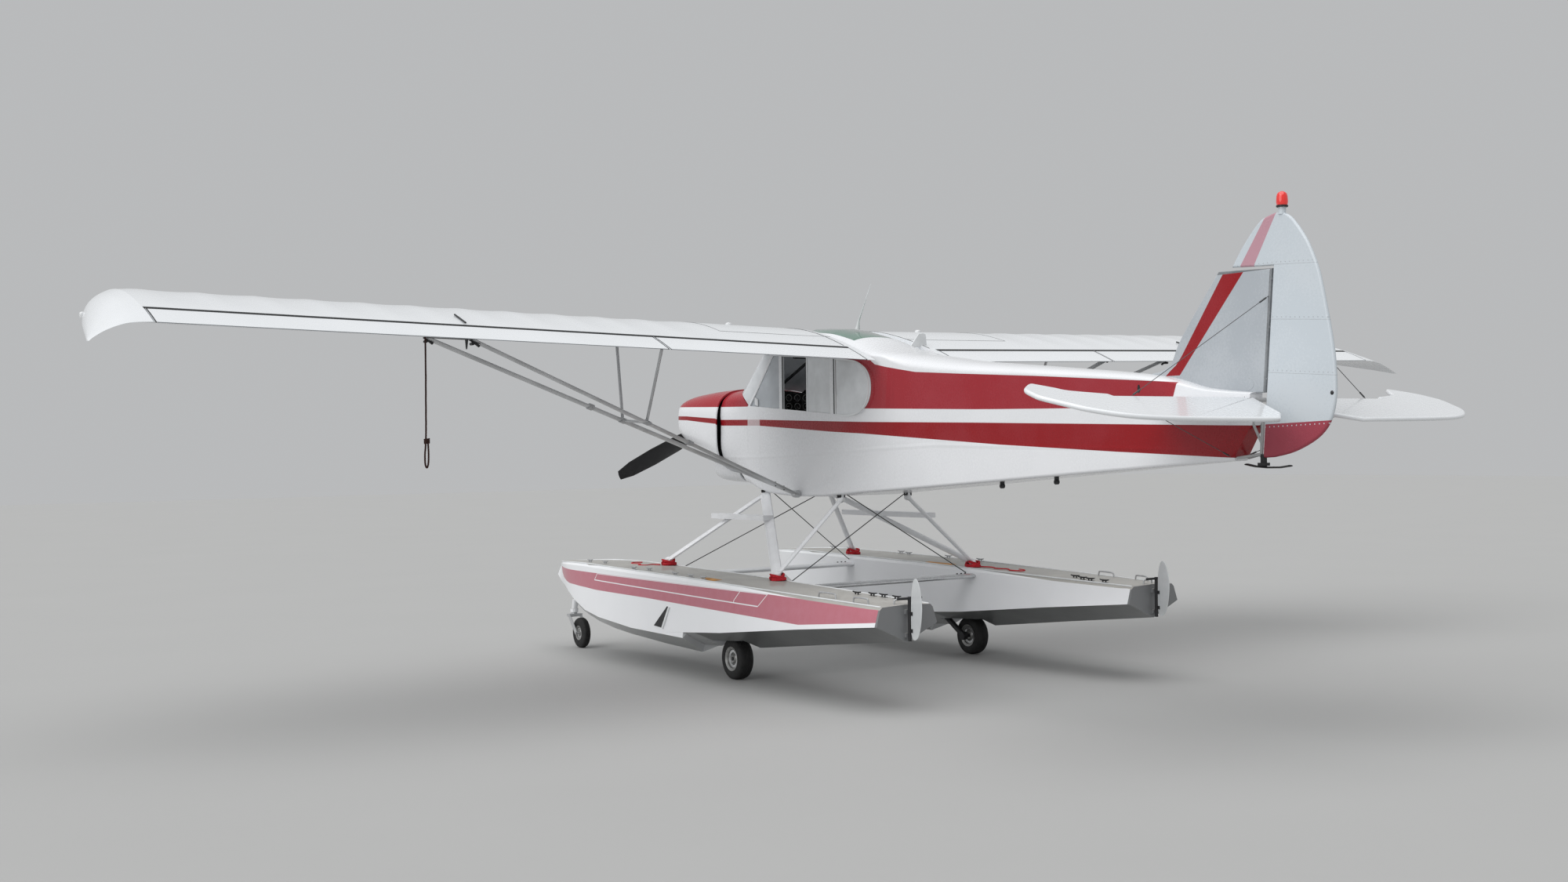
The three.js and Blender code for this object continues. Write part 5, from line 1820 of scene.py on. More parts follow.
@dataclass
class Wheel:
    """A wheel: a grooved tyre on a dished rim with its bolts and a bright ring."""

    name: str
    middle: Point
    radius: float
    rim: float
    width: float
    bore: float

    def tyre(self, centre: Vector) -> Shape:
        """The tyre's round skin, with four grooves in its tread.

        Args:
            centre: The wheel's middle.

        Returns:
            The tyre.
        """
        half, r, b = self.width / 2, self.radius, self.rim
        side = [(b + 0.003, -0.86), (b + 0.012, -0.93), (lerp(b, r, 0.35), -1.0), (lerp(b, r, 0.6), -0.985),
                (lerp(b, r, 0.8), -0.91), (lerp(b, r, 0.92), -0.78), (r - 0.0035, -0.62)]
        tread = []
        for groove in (-0.42, -0.14, 0.14, 0.42):
            crown = r - 0.004 * (abs(groove) - 0.1) ** 2
            tread += [(crown, groove - 0.06), (crown - 0.002, groove - 0.045),
                      (crown - 0.002, groove + 0.045),
                      (crown, groove + 0.06)]
        other = [(q, -w) for q, w in reversed(side)]
        inner = [(b + 0.001, 0.84), (b + 0.001, -0.84)]
        profile = [(q, w * half) for q, w in side + tread + other + inner]
        return turned(profile, centre, "X", 64)

    def hub(self, centre: Vector) -> Shape:
        """The rim with its flanges, a dished disc and a ring of bolts.

        Args:
            centre: The wheel's middle.

        Returns:
            The rim.
        """
        half, b, c = self.width / 2, self.rim, self.bore
        outer = [(c, 0.7), (c + 0.012, 0.74), (c + 0.016, 0.6), (b * 0.55, 0.42), (b * 0.8, 0.5),
                 (b * 0.88, 0.8),
                 (b + 0.0005, 0.86), (b + 0.008, 0.93), (b + 0.008, 0.88), (b + 0.0005, 0.8)]
        profile = [(q, w * half) for q, w in outer] + [(q, -w * half) for q, w in reversed(outer)]
        shape = turned(profile, centre, "X", 48)
        for k in range(6):
            angle = tau * k / 6
            spot = centre + Vector((0, cos(angle), sin(angle))) * b * 0.62
            for way in (1, -1):
                start, end = spot + Vector((half * 0.4 * way, 0, 0)), spot + Vector((half * 0.56 * way, 0, 0))
                shape += tube([start, end], 0.0055, 6)
        return shape

    def ring(self, centre: Vector) -> Shape:
        """The bright ring on both faces of the wheel.

        Args:
            centre: The wheel's middle.

        Returns:
            The rings.
        """
        half, b = self.width / 2, self.rim
        shape = Shape()
        for way in (1, -1):
            profile = [(b * 0.56, 0.46), (b * 0.58, 0.62), (b * 0.8, 0.62), (b * 0.82, 0.46)]
            shape += turned([(q, w * half * way) for q, w in profile], centre, "X", 48)
        return shape

    def build(self, shop: Workshop) -> None:
        """Makes the tyre, the hub and the ring of both sides."""
        for side in Side:
            node = f"{self.name}_{side.word}"
            centre = at(*self.middle)
            tyre, hub = self.tyre(centre).sided(side), self.hub(centre).sided(side)
            shop.piece(f"{self.name}_tyre_{side.word}", tyre, "tyre", node, [node], crisp=50)
            shop.piece(f"{self.name}_hub_{side.word}", hub, "wheel_rim", node, crisp=40)
            shop.piece(f"{self.name}_ring_{side.word}", self.ring(centre).sided(side), "bright_metal", node,
                       crisp=40)


@dataclass
class Fuselage:
    """Cabin, tail cone, cowl and their glass, with the trim that lies on them."""

    # Columns: station, half width, bottom, top of the side, crown, corner.
    rows: tuple = (
        (-0.25, 0.354, 1.418, 2.1, 2.22, 0.06), (-0.07, 0.345, 1.374, 2.36, 2.45, 0.022),
        (0.015, 0.345, 1.358, 2.478, 2.52, 0.022), (0.06, 0.345, 1.352, 2.48, 2.59, 0.022),
        (0.2, 0.345, 1.34, 2.475, 2.642, 0.022), (0.48, 0.345, 1.33, 2.455, 2.664, 0.022),
        (0.8, 0.345, 1.333, 2.43, 2.64, 0.022), (1.1, 0.345, 1.35, 2.405, 2.57, 0.022),
        (1.35, 0.3265, 1.368, 2.385, 2.485, 0.022), (1.6, 0.308, 1.383, 2.372, 2.425, 0.022),
        (1.75, 0.2969, 1.392, 2.325, 2.398, 0.022), (1.904, 0.2854, 1.402, 2.282, 2.38, 0.022),
        (2.425, 0.2469, 1.436, 2.227, 2.312, 0.022), (3.234, 0.1869, 1.491, 2.173, 2.237, 0.022),
        (4.16, 0.1183, 1.553, 2.107, 2.146, 0.022), (4.4, 0.1006, 1.569, 2.08, 2.112, 0.022),
        (4.7, 0.0783, 1.588, 2.02, 2.04, 0.022), (5.08, 0.0502, 1.612, 1.99, 2.002, 0.022),
    )
    # The boot cowl's front ring: half width, bottom, top, power; then its gap inside the cowl, low and high.
    boot: tuple = (0.44, 1.5, 2.216, 3.6)
    boot_gap: tuple = ((-1.0, 0.04), (0.2, 0.05), (0.75, 0.014), (1.0, 0.007))
    firewall: float = -0.62535
    cabin_end: float = 1.75
    wall: float = 0.014
    cut_reach: tuple[float, float] = (0.25, 0.5)
    slider: tuple[float, float] = (0.296, 0.985)
    door: tuple[float, float] = (0.29, 0.992)
    door_foot: float = 1.432
    quarter: tuple[float, float, float] = (-0.214, 0.15, 0.238)
    roof_glass: tuple = ((-0.23, 0.24, 2.5), (0.23, 1.15, 2.8))
    # A post's foot and head.
    post: tuple[Point, Point] = ((0.336, -0.236, 2.052), (0.336, 0.128, 2.462))
    clip: tuple = ((-0.137, 2.128), (-0.089, 2.11), (-0.089, 2.056), (-0.137, 2.07))
    shield: tuple = ((-0.322, 0.0), (0.322, 0.0), (0.322, -0.24), (0.25, -0.44), (0.12, -0.488),
                     (-0.12, -0.488), (-0.25, -0.44), (-0.322, -0.24))
    dial_rows: tuple[float, float, float] = (2.122, 2.052, 1.982)
    dial_ring: tuple = ((0.024, -0.001), (0.028, -0.001), (0.028, 0.003), (0.024, 0.003))
    # Station, height and half width of the whip.
    whip: tuple = ((0.858, 2.636, 0.021), (0.862, 2.652, 0.016), (0.869, 2.68, 0.0115), (0.878, 2.704, 0.009),
                   (0.89, 2.722, 0.006), (0.966, 2.842, 0.004), (1.047, 2.9705, 0.0026))
    vane: tuple = ((-0.245, 2.48), (-0.408, 2.488), (-0.398, 2.585), (-0.372, 2.594), (-0.33, 2.586))
    # Columns: station, half width, bottom, top.
    cowl_rows: tuple = (
        (-1.335, 0.345, 1.85, 2.105), (-1.324, 0.4, 1.815, 2.135), (-1.29, 0.434, 1.775, 2.16),
        (-1.18, 0.448, 1.715, 2.184), (-1.0, 0.452, 1.655, 2.2), (-0.85, 0.45, 1.6, 2.21),
        (-0.6257, 0.44, 1.5, 2.216),
    )
    scoop_rows: tuple = (
        (-1.106, 0.15, 1.51, 1.64), (-1.09, 0.195, 1.462, 1.7), (-1.04, 0.215, 1.442, 1.72),
        (-0.8, 0.222, 1.425, 1.72), (-0.6257, 0.222, 1.422, 1.72),
    )
    cowl_power: float = 3.6
    scoop_power: float = 3.3
    inlet: tuple = (0.205, 0.105, 1.9, 2.035)
    hub_hole: tuple = (0.06, 1.955)
    sill: tuple = ((-0.243, 2.056), (0.195, 2.03), (1.036, 1.967), (1.29, 1.949), (1.6, 1.945))
    header: tuple = ((0.0, 2.466), (0.16, 2.452), (1.04, 2.386), (1.5, 2.352))
    windshield_cut: tuple = (
        (-0.52, 2.217), (-0.352, 2.159), (-0.243, 2.056), (0.116, 2.456), (0.02, 2.481), (-0.04, 2.53),
        (-0.04, 2.8), (-0.9, 2.8), (-0.9, 2.3), (-0.56, 2.245),
    )
    glass_foot: tuple = (
        (0.345, -0.243, 2.058), (0.343, -0.352, 2.158), (0.262, -0.452, 2.196), (0.14, -0.498, 2.212),
        (0.0, -0.51, 2.216),
    )
    glass_head: tuple = (
        (0.345, 0.118, 2.462), (0.343, 0.01, 2.482), (0.262, -0.014, 2.5), (0.14, -0.024, 2.51),
        (0.0, -0.028, 2.513),
    )
    rear_glass: tuple = (
        (1.06, 2.38), (1.22, 2.364), (1.34, 2.345), (1.425, 2.305), (1.478, 2.24), (1.494, 2.16),
        (1.478, 2.08), (1.43, 2.015), (1.35, 1.972), (1.22, 1.958), (1.06, 1.968),
    )
    end_cut: tuple = (
        (4.902, 1.56), (4.918, 1.632), (5.046, 1.812), (5.058, 1.936), (5.036, 1.936), (5.036, 1.992),
        (5.11, 2.1), (5.3, 2.1), (5.3, 1.56),
    )

    def hoop(self, station: float, inset: float = 0.0) -> list[Vector]:
        """The ring of the fuselage at a station, drawn in by an inset.

        Args:
            station: Its station.
            inset: How far it is drawn in.

        Returns:
            The ring.
        """
        half, low, side, top, corner = (glide(self.rows, station, column) for column in range(1, 6))
        half, low, side, top = half - inset, low + inset, side - inset * 0.6, top - inset
        right = [((half - corner) * k / 4, low) for k in range(4)]
        for k in range(6):
            angle = pi / 2 * k / 5
            right.append((half - corner + corner * sin(angle), low + corner - corner * cos(angle)))
        right += [(half, lerp(low + corner, side, k / 10)) for k in range(1, 10)]
        for k in range(17):
            angle = pi / 2 * k / 16
            right.append((half * cos(angle) ** 0.89, side + (top - side) * sin(angle) ** 0.89))
        ring = right + [(-x, z) for x, z in reversed(right[1:-1])]
        start = self.rows[0][0]
        if station >= start:
            return [at(x, station, z) for x, z in ring]
        t = (station - self.firewall) / (start - self.firewall)
        t = t * t * (3 - 2 * t)
        wide, foot, head, power = self.boot
        middle, tall = (foot + head) / 2, (head - foot) / 2
        points = []
        for x, z in ring:
            angle = atan2(z - middle, x)
            reach = ray(angle, wide, tall, power) - read(self.boot_gap, sin(angle)) - inset
            front = (reach * cos(angle), middle + reach * sin(angle))
            points.append(at(lerp(front[0], x, t), station, lerp(front[1], z, t)))
        return points

    def sides(self, outline: Outline) -> Shape:
        """A cutter through both sides of the cabin."""
        return plate(upright, outline, *self.cut_reach).marked(0).both()

    def rear_window(self) -> Outline:
        """The round-ended rear window."""
        return [tuple(p) for p in smooth_run(self.rear_glass, 5)]

    def window(self, start: float, end: float) -> Outline:
        """A window of the side between two stations, from sill to header."""
        return [(start, read(self.sill, start)), (end, read(self.sill, end)), (end, read(self.header, end)),
                (start, read(self.header, start))]

    def cabin(self) -> Shape:
        """The cabin's skin with its openings and the windshield's posts.

        Returns:
            The cabin's skin.
        """
        outer = loft([self.hoop(y) for y in evenly(self.firewall, self.cabin_end, 0.04)])
        cavity = loft([self.hoop(y, self.wall) for y in evenly(self.firewall + 0.025, self.cabin_end - 0.025,
                                                               0.06)])
        start, bend, end = self.quarter
        quarter = [(start, read(self.sill, start) + 0.006), (end, read(self.sill, end)),
                   (end, read(self.header, end)), (bend, read(self.header, bend))]
        slider = plate(upright, self.window(*self.slider), *self.cut_reach)
        door = [(y, self.door_foot) for y in self.door] + self.window(*self.door)[2:]
        openings = slider + plate(upright, door, -self.cut_reach[1], -self.cut_reach[0])
        front = plate(upright, list(self.windshield_cut), -self.cut_reach[1], self.cut_reach[1])
        sides = self.sides(quarter) + self.sides(self.rear_window())
        shell = carve(outer, cavity.marked(1), front, openings, sides, box(*self.roof_glass))
        return shell + tube([at(*spot) for spot in self.post], 0.012, 16).both()

    def cone(self) -> Shape:
        """The tail cone, cut off at the stern post."""
        whole = loft([self.hoop(y) for y in evenly(self.cabin_end + 0.0004, 5.08, 0.08)])
        return carve(whole, plate(upright, list(self.end_cut), -0.4, 0.4))

    def cowl(self) -> Shape:
        """The engine's cowl, open behind, with its cooling inlets and the chin scoop.

        Returns:
            The cowl's skin.
        """
        start, end = self.cowl_rows[0][0], self.cowl_rows[-1][0]
        lip = [start + step for step in (0.0, 0.003, 0.007, 0.011, 0.02, 0.032)]
        outer = self.body(self.cowl_rows, [*lip, *evenly(start + 0.045, end, 0.045)], self.cowl_power, 96)
        rings = []
        for y in evenly(start + 0.012, end, 0.06):
            half, low, high = (glide(self.cowl_rows, y, c) for c in (1, 2, 3))
            rings.append(oval(y if y < end else end + 0.05, half - 0.012, low + 0.012, high - 0.012,
                              self.cowl_power))
        out, half, low, high = self.inlet
        radius, shaft = self.hub_hole
        inlets = self.bore(-1.45, -1.2, half, low, high, 2.5, out).both()
        hub = self.bore(-1.45, -1.2, radius, shaft - radius, shaft + radius, 2.0)
        shell = carve(outer, loft(rings).marked(1), inlets + hub)
        first, last = self.scoop_rows[0][0], self.scoop_rows[-1][0]
        lip = [first + step for step in (0.0, 0.005, 0.01, 0.02)]
        scoop = self.body(self.scoop_rows, [*lip, *evenly(first + 0.035, last, 0.05)], self.scoop_power, 72)
        throat = self.bore(-1.13, -1.0, 0.12, 1.53, 1.625, 2.8)
        return shell + carve(scoop, throat + self.bore(-0.7, -0.6, 0.21, 1.434, 1.7, self.scoop_power))

    def body(self, rows: Sequence[Sequence[float]], places: list[float], power: float, count: int) -> Shape:
        """A body of ovals through a table's rows."""
        return loft([oval(y, *(glide(rows, y, c) for c in (1, 2, 3)), power, 0.0, count) for y in places])

    def bore(self, start: float, end: float, half: float, low: float, high: float, power: float,
             x: float = 0.0) -> Shape:
        """A dark-walled cutter along the aeroplane."""
        return loft([oval(y, half, low, high, power, x, 48) for y in (start, end)]).marked(1)

    def windshield(self) -> Shape:
        """The bent sheet from the cowl to the wing's leading edge.

        Returns:
            The sheet.
        """
        foot = [(x * 0.99, y + 0.004, z - 0.001) for x, y, z in self.glass_foot]
        head = [(x * 0.99, y - 0.005, z - 0.004) for x, y, z in self.glass_head]
        edges = [smooth_run([*edge, *((-x, y, z) for x, y, z in reversed(edge[:-1]))], 6) for edge in (foot,
                                                                                                       head)]
        rings = []
        for low, high in zip(*edges):
            behind = [(x * 0.985, y + 0.006, z - 0.003) for x, y, z in (high, low)]
            rings.append([at(*p) for p in (low, high, *behind)])
        return loft(rings)

    def gaps(self) -> Shape:
        """The dark lines beside the window posts.

        Returns:
            The lines.
        """
        shape = Shape()
        for start, end in ((0.284, 0.2965), (1.03, 1.0435)):
            shape += plate(upright, self.window(start, end), 0.344, 0.3462)
        shape = shape.both()
        return shape + plate(upright, self.window(0.632, 0.641), 0.3325, 0.3425)

    def frames(self) -> Shape:
        """The pale frame of the sliding pane, the rims of the rear windows and the window's clip.

        Returns:
            The frames.
        """
        shape = strip(upright, self.window(0.655, 0.97), 0.014, 0.3403, 0.3435)
        shape += strip(upright, self.rear_window(), 0.011, 0.3435, 0.3472).both()
        return shape + plate(upright, list(self.clip), 0.3435, 0.35)

    def inside(self) -> Shape:
        """The glareshield, the cross tube and the slanting tube over the panel.

        Returns:
            The pieces over the panel.
        """
        shape = plate(level, list(self.shield), 2.14, 2.156)
        for x in (0.15, -0.15):
            shape += tube([at(x, -0.235, 2.15), at(x, 0.44, 2.43)], 0.012, 14)
        return shape + tube([at(-0.33, 0.44, 2.43), at(0.33, 0.44, 2.43)], 0.013, 14)

    def dials(self) -> Shape:
        """The rims and needles of the blank instruments, and a row of switches.

        Returns:
            The rims, needles and switches.
        """
        shape = Shape()
        for k in range(8):
            for z in self.dial_rows:
                centre = at(-0.28 + 0.08 * k, 0.018, z)
                shape += turned(self.dial_ring, centre, "Y", 24)
                tip = centre + Vector((0.018 * cos(k * 2.1 + z), 0, 0.018 * sin(k * 2.1 + z)))
                shape += tube([centre + Vector((0, 0.001, 0)), tip + Vector((0, 0.001, 0))], 0.002, 6)
        for k in range(8):
            spot = at(-0.21 + 0.06 * k, 0.017, 1.927)
            shape += tube([spot, spot + Vector((0, 0.012, 0))], 0.005, 8)
        return shape

    def antenna(self) -> Shape:
        """The whip on its tapered foot."""
        radii = [radius for _, _, radius in self.whip]
        return tube([at(0, y, z) for y, z, _ in self.whip], radii, 16)

    def build(self, shop: Workshop) -> None:
        """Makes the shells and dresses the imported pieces.

        Args:
            shop: The workshop that finishes the pieces.
        """
        shop.piece("window_gaps", self.gaps(), "gap_black", crisp=50)
        shop.piece("window_frames", self.frames(), "trim_white", crisp=40)
        shop.piece("cabin_tubes", self.inside(), "head_cloth", crisp=50)
        shop.piece("dials", self.dials(), "dial_white", crisp=50)
        shop.piece("antenna_whip", self.antenna(), "white_plastic", replaces=["antenna"], crisp=60)
        shop.piece("roof_vane", plate(crosswise, list(self.vane), 1.204, 1.216), "trim_white", bevel=0.002)
        # The second finish darkens the inner walls of the cabin and of the cowl, with its inlets and the chin
        # scoop's throat.
        skin = ["fuselage_paint", "head_cloth"]
        shop.piece("cabin_skin", self.cabin(), skin, replaces=["cabin"], crisp=32)
        shop.piece("tail_cone_skin", self.cone(), skin, replaces=["tail_cone"], crisp=32)
        shop.piece("cowl_skin", self.cowl(), skin, replaces=["engine_cowl"], crisp=50)
        shop.piece("windshield_sheet", self.windshield(), "windshield_sheet", replaces=["windshield"],
                   crisp=60)
        for node in ("door_upper", "door_lower"):
            shop.dress(node, "fuselage_paint", 0.002)
        shop.dress("skylight", "green_roof", 0.0005)
        for node in ("quarter_window_port", "quarter_window_starboard", "door_window"):
            shop.dress(node, "window", 0.0005)
        # The sliding pane and the rear windows show the painted sky reflection.
        for node in ("sliding_window", "rear_window_port", "rear_window_starboard"):
            shop.dress(node, "hazy_window", 0.0005)
        shop.dress("instrument_panel", "dark_metal", 0.004)
        shop.dress("engine", "dark_metal", 0.004)
        shop.dress("propeller", "blade_black", 0.001, 50)


@dataclass
class Cushions:
    """The two seats: crowned cushions on their pedestals."""

    # Columns: name, station, half width, floor of the cushion, depth, top of the back, foot of the pedestal.
    seats: tuple = (
        ("front_seat", 0.33, 0.215, 1.59, 0.4, 2.09, 1.35), ("rear_seat", 1.01, 0.25, 1.56, 0.4, 2.04, 1.384),
    )

    def pad(self, low: Vector, high: Vector, crown: float, power: float = 5.0) -> Shape:
        """A crowned pad between two corners, its sides pulled in between the corners.

        Args:
            low: Its lowest corner.
            high: Its highest corner.
            crown: How far it bulges.
            power: How square its edges are.

        Returns:
            The pad.
        """
        middle, half = (low + high) / 2, (high - low) / 2
        across, around = 14, 40
        rings = []
        for i in range(across + 1):
            level_share = -cos(pi * i / across)
            size = (1 - abs(level_share) ** power) ** (1 / power)
            ring = []
            for k in range(around):
                angle = tau * k / around
                c, s = cos(angle), sin(angle)
                square = (abs(c) ** power + abs(s) ** power) ** (-1 / power)
                pull = 1 - 0.03 * cos(2 * angle) ** 2
                x, y = c * square * size * pull, s * square * size * pull
                swell = crown * (1 - x * x) * (1 - y * y) * level_share
                ring.append(middle + Vector((half.x * x, half.y * y, half.z * level_share + swell)))
            rings.append(ring)
        return loft(rings)

    def build(self, shop: Workshop) -> None:
        """Makes each seat's cushions."""
        for name, y, wide, low, depth, high, foot in self.seats:
            rear = y + depth
            base = self.pad(at(-wide, y, low), at(wide, rear, low + 0.09), 0.02)
            lean = atan2(0.08, high - low)
            back = self.pad(at(-wide, rear - 0.015, low), at(wide, rear + 0.055, high), 0.0)
            back = back.turned(Matrix.Rotation(-lean, 3, "X"), at(0, rear, low))
            seat = shop.piece(f"{name}_cushion", base + back, "seat_cloth", replaces=[name], crisp=70)
            stand = box((-wide + 0.04, y + 0.06, foot), (wide - 0.04, rear - 0.06, low + 0.02))
            shop.piece(f"{name}_stand", stand, "dark_metal", bevel=0.006)


@dataclass
class Floats:
    """The floats with their struts, spreaders, wires, wheel legs and deck fittings."""

    out: float = 1.093
    # Columns: station, height and half width of the deck's edge.
    deck: tuple = (
        (-2.208, 0.733, 0.014), (-2.165, 0.737, 0.04), (-2.1, 0.742, 0.066), (-2.0, 0.747, 0.104),
        (-1.9, 0.752, 0.138), (-1.8, 0.757, 0.164), (-1.7, 0.762, 0.184), (-1.5, 0.768, 0.206),
        (-1.2, 0.771, 0.225), (-0.9, 0.768, 0.236), (-0.3, 0.759, 0.239), (0.555, 0.746, 0.24),
        (1.1, 0.733, 0.236), (2.1, 0.709, 0.215), (2.985, 0.688, 0.19),
    )
    # Columns: station, height and half width of the chine.
    chine: tuple = ((-0.3, 0.317, 0.31), (0.555, 0.305, 0.31), (1.1, 0.385, 0.3), (2.1, 0.485, 0.27))
    # Distance to port and station, on the port float's deck.
    cleats: tuple = ((1.219, -1.409), (1.217, -1.126), (1.303, -0.432), (1.259, -0.254), (1.305, 0.266),
                     (1.3, 0.502), (1.305, 0.706))
    dark_cleats: tuple = ((0.987, 2.273), (0.946, 2.402), (0.929, 2.507), (0.93, 2.661))
    handles: tuple = (((1.265, 2.227), (1.25, 2.417)), ((1.262, 2.64), (1.245, 2.79)),
                      ((1.146, 2.936), (1.039, 2.96)))
    feet: tuple = ((0.905, -0.61), (0.912, 1.108))
    # Distance out on its own side (starboard below 0), then the stations between which it lies.
    pads: tuple = ((1.225, 0.6, 0.86), (-0.945, 0.47, 0.85))
    line_wide: float = 0.012
    # Name, side, then the way along the deck: distance out and station.
    lines: tuple = (
        ("mooring_line_port", Side.PORT, ((0.962, -0.64), (1.01, -0.7), (1.075, -0.66), (1.11, -0.73),
                                          (1.06, -0.8), (1.085, -0.9), (1.03, -0.985), (0.96, -0.96))),
        ("mooring_line_starboard", Side.STARBOARD, ((0.96, 1.16), (1.0, 1.25), (0.965, 1.35), (1.0, 1.45),
                                                    (0.955, 1.54), (0.99, 1.64), (1.05, 1.6), (1.06, 1.52))),
    )
    strut_tops: tuple = ((0.31, -0.055), (0.31, 1.067))
    spreaders: tuple = ((-0.528, 0.688), (1.195, 0.676))
    water_rudder: tuple = (
        (3.052, 0.52), (3.066, 0.48), (3.09, 0.471), (3.125, 0.49), (3.152, 0.55), (3.167, 0.63),
        (3.171, 0.7), (3.16, 0.78), (3.138, 0.838), (3.11, 0.866), (3.082, 0.852), (3.062, 0.79),
        (3.054, 0.7), (3.052, 0.6),
    )

    def top(self, station: float) -> float:
        """The deck's height at a station."""
        return glide(self.deck, station, 1)

    def wall(self, station: float, height: float, lift: float = 0.0) -> Vector:
        """A point of the outer side at a station and height, lifted off it.

        Args:
            station: Its station.
            height: Its height.
            lift: How far it lies off the skin.

        Returns:
            The point.
        """
        low, wide = read(self.chine, station, 1), read(self.chine, station, 2)
        half = glide(self.deck, station, 2) * 1.1
        share = (height - low) / (self.top(station) - 0.024 - low)
        return at(self.out + lerp(wide, half, share) + lift, station, height)

    def patch(self, outline: Outline, thick: float = 0.003) -> Shape:
        """A thin plate that lies on the outer side."""
        return loft([[self.wall(y, z, lift) for y, z in outline] for lift in (-0.002, thick)])

    def rails(self) -> Shape:
        """The raised edge along both sides of the deck.

        Returns:
            Both rails.
        """
        shape = Shape()
        places = evenly(-2.19, 2.985, 0.06)
        for way in (1, -1):
            line = [at(self.out + way * glide(self.deck, y, 2), y, self.top(y) + 0.001) for y in places]
            shape += tube(line, 0.0055, 8, across=Vector((1, 0, 0)))
        return shape

    def cleat(self, x: float, station: float) -> Shape:
        """A small horned cleat on the deck.

        Args:
            x: Distance out on the port float.
            station: Its station.

        Returns:
            The cleat.
        """
        z = self.top(station)
        shape = tube([at(x, station - 0.048, z + 0.023), at(x, station - 0.02, z + 0.019),
                      at(x, station + 0.02, z + 0.019),
                      at(x, station + 0.048, z + 0.023)], [0.004, 0.006, 0.006, 0.004], 10,
                     across=Vector((1, 0, 0)))
        for shift in (-0.016, 0.016):
            shape += tube([at(x, station + shift, z - 0.002), at(x, station + shift, z + 0.019)], 0.005, 10)
        return shape + box((x - 0.014, station - 0.032, z - 0.002), (x + 0.014, station + 0.032, z + 0.004))

    def handle(self, start: tuple[float, float], end: tuple[float, float]) -> Shape:
        """A low grab rail between two places of the deck.

        Args:
            start: Distance out and station of one foot.
            end: Distance out and station of the other foot.

        Returns:
            The rail.
        """
        points = []
        for share, rise in ((0.0, -0.002), (0.03, 0.024), (0.1, 0.034), (0.5, 0.036), (0.9, 0.034),
                            (0.97, 0.024), (1.0, -0.002)):
            y = lerp(start[1], end[1], share)
            points.append(tuple(at(lerp(start[0], end[0], share), y, self.top(y) + rise)))
        return tube([Vector(p) for p in smooth_run(points, 4)], 0.006, 10)

    def lashing(self, x: float, station: float, radius: float = 0.04) -> Shape:
        """A red rope wound tight round a strut's foot, with its last turns crossed over.

        Args:
            x: Distance out on the port float.
            station: Its station.
            radius: The strut's radius with its first turn.

        Returns:
            The turns of rope.
        """
        base = self.top(station)
        shape = Shape()
        for lean, low, turns, spread_out in ((0.0, 0.007, 2.0, 0.014), (0.1, 0.014, 2.0, 0.004),
                                             (0.34, 0.024, 1.5, 0.006),
                                             (-0.3, 0.026, 1.5, 0.01)):
            points = []
            for k in range(int(24 * turns) + 1):
                angle = tau * k / 24
                r = radius + spread_out * (1 + 0.4 * sin(3 * angle))
                rise = low + 0.009 * angle / tau + lean * r * cos(angle + lean * 9)
                points.append(at(x + r * cos(angle), station + 1.25 * r * sin(angle),
                                 base + max(rise, 0.007)))
            shape += tube(points, 0.0065, 8)
        return shape

    def paddle(self) -> Shape:
        """The paddle stowed along the inner side.

        Returns:
            The paddle.
        """
        spots = [(0.862, -0.35, 0.56), (0.862, 0.08, 0.54), (0.862, 0.42, 0.541), (0.862, 0.64, 0.543)]
        shaft = tube([at(*p) for p in spots[:3]], 0.013, 12)
        blade = tube([at(*p) for p in spots[2:]], [0.02, 0.062], 20, 0.14, Vector((0, 0, 1)))
        return shaft + blade

    def pad(self, x: float, start: float, end: float) -> Shape:
        """A patch on the deck between two stations."""
        corners = [(x - 0.075, start), (x + 0.07, start + 0.03), (x + 0.075, end), (x - 0.06, end - 0.04)]
        edge = rounded(corners, 0.03)
        return loft([[at(u, v, self.top(v) + lift) for u, v in edge] for lift in (-0.004, 0.0035)])

    def ropes(self, shop: Workshop) -> None:
        """The two red mooring lines whose slack lies on the decks beside the struts' feet."""
        for name, side, route in self.lines:
            points = [at(x * side.value, y, self.top(y) + self.line_wide / 2 + 0.0012)
                      for x, y in smooth_run(route, 10)]
            rope = TieDownRope(diameter=self.line_wide)
            piece = shop.piece(name, rope.rope(points, Vector((0, 0, 1))), "rope_red", crisp=80)

    def bolts(self, station: float, height: float) -> Shape:
        """Bolts along a spreader bar's ends.

        Args:
            station: The bar's station.
            height: The bar's height.

        Returns:
            The bolts of both ends.
        """
        shape = Shape()
        for x in (0.7, 0.74, 0.78):
            shape += tube([at(x, station - 0.012, height + 0.008), at(x, station - 0.012, height + 0.026)],
                          0.007, 6)
        return shape.both()

    def clamps(self) -> Shape:
        """The dark fittings at the struts' heads.

        Returns:
            The fittings.
        """
        shape = Shape()
        for x, y in self.strut_tops:
            low = 1.372 if y < 0 else 1.347
            shape += box((x - 0.022, y - 0.02, low - 0.018), (x + 0.026, y + 0.02, low + 0.002))
            shape += tube([at(x - 0.03, y, low - 0.012), at(x + 0.034, y, low - 0.012)], 0.008, 10)
        return shape

    def blade(self) -> Shape:
        """A water rudder's leaf.

        Returns:
            The leaf.
        """
        outline = [tuple(p) for p in smooth_run([*self.water_rudder, self.water_rudder[0]], 4)][:-1]
        rings = []
        for inset, lift in ((0.006, 0.004), (0.0, 0.0015), (0.0, -0.0015), (0.006, -0.004)):
            rings.append([at(self.out + lift, y, z) for y, z in inside(outline, inset)])
        return loft(rings)

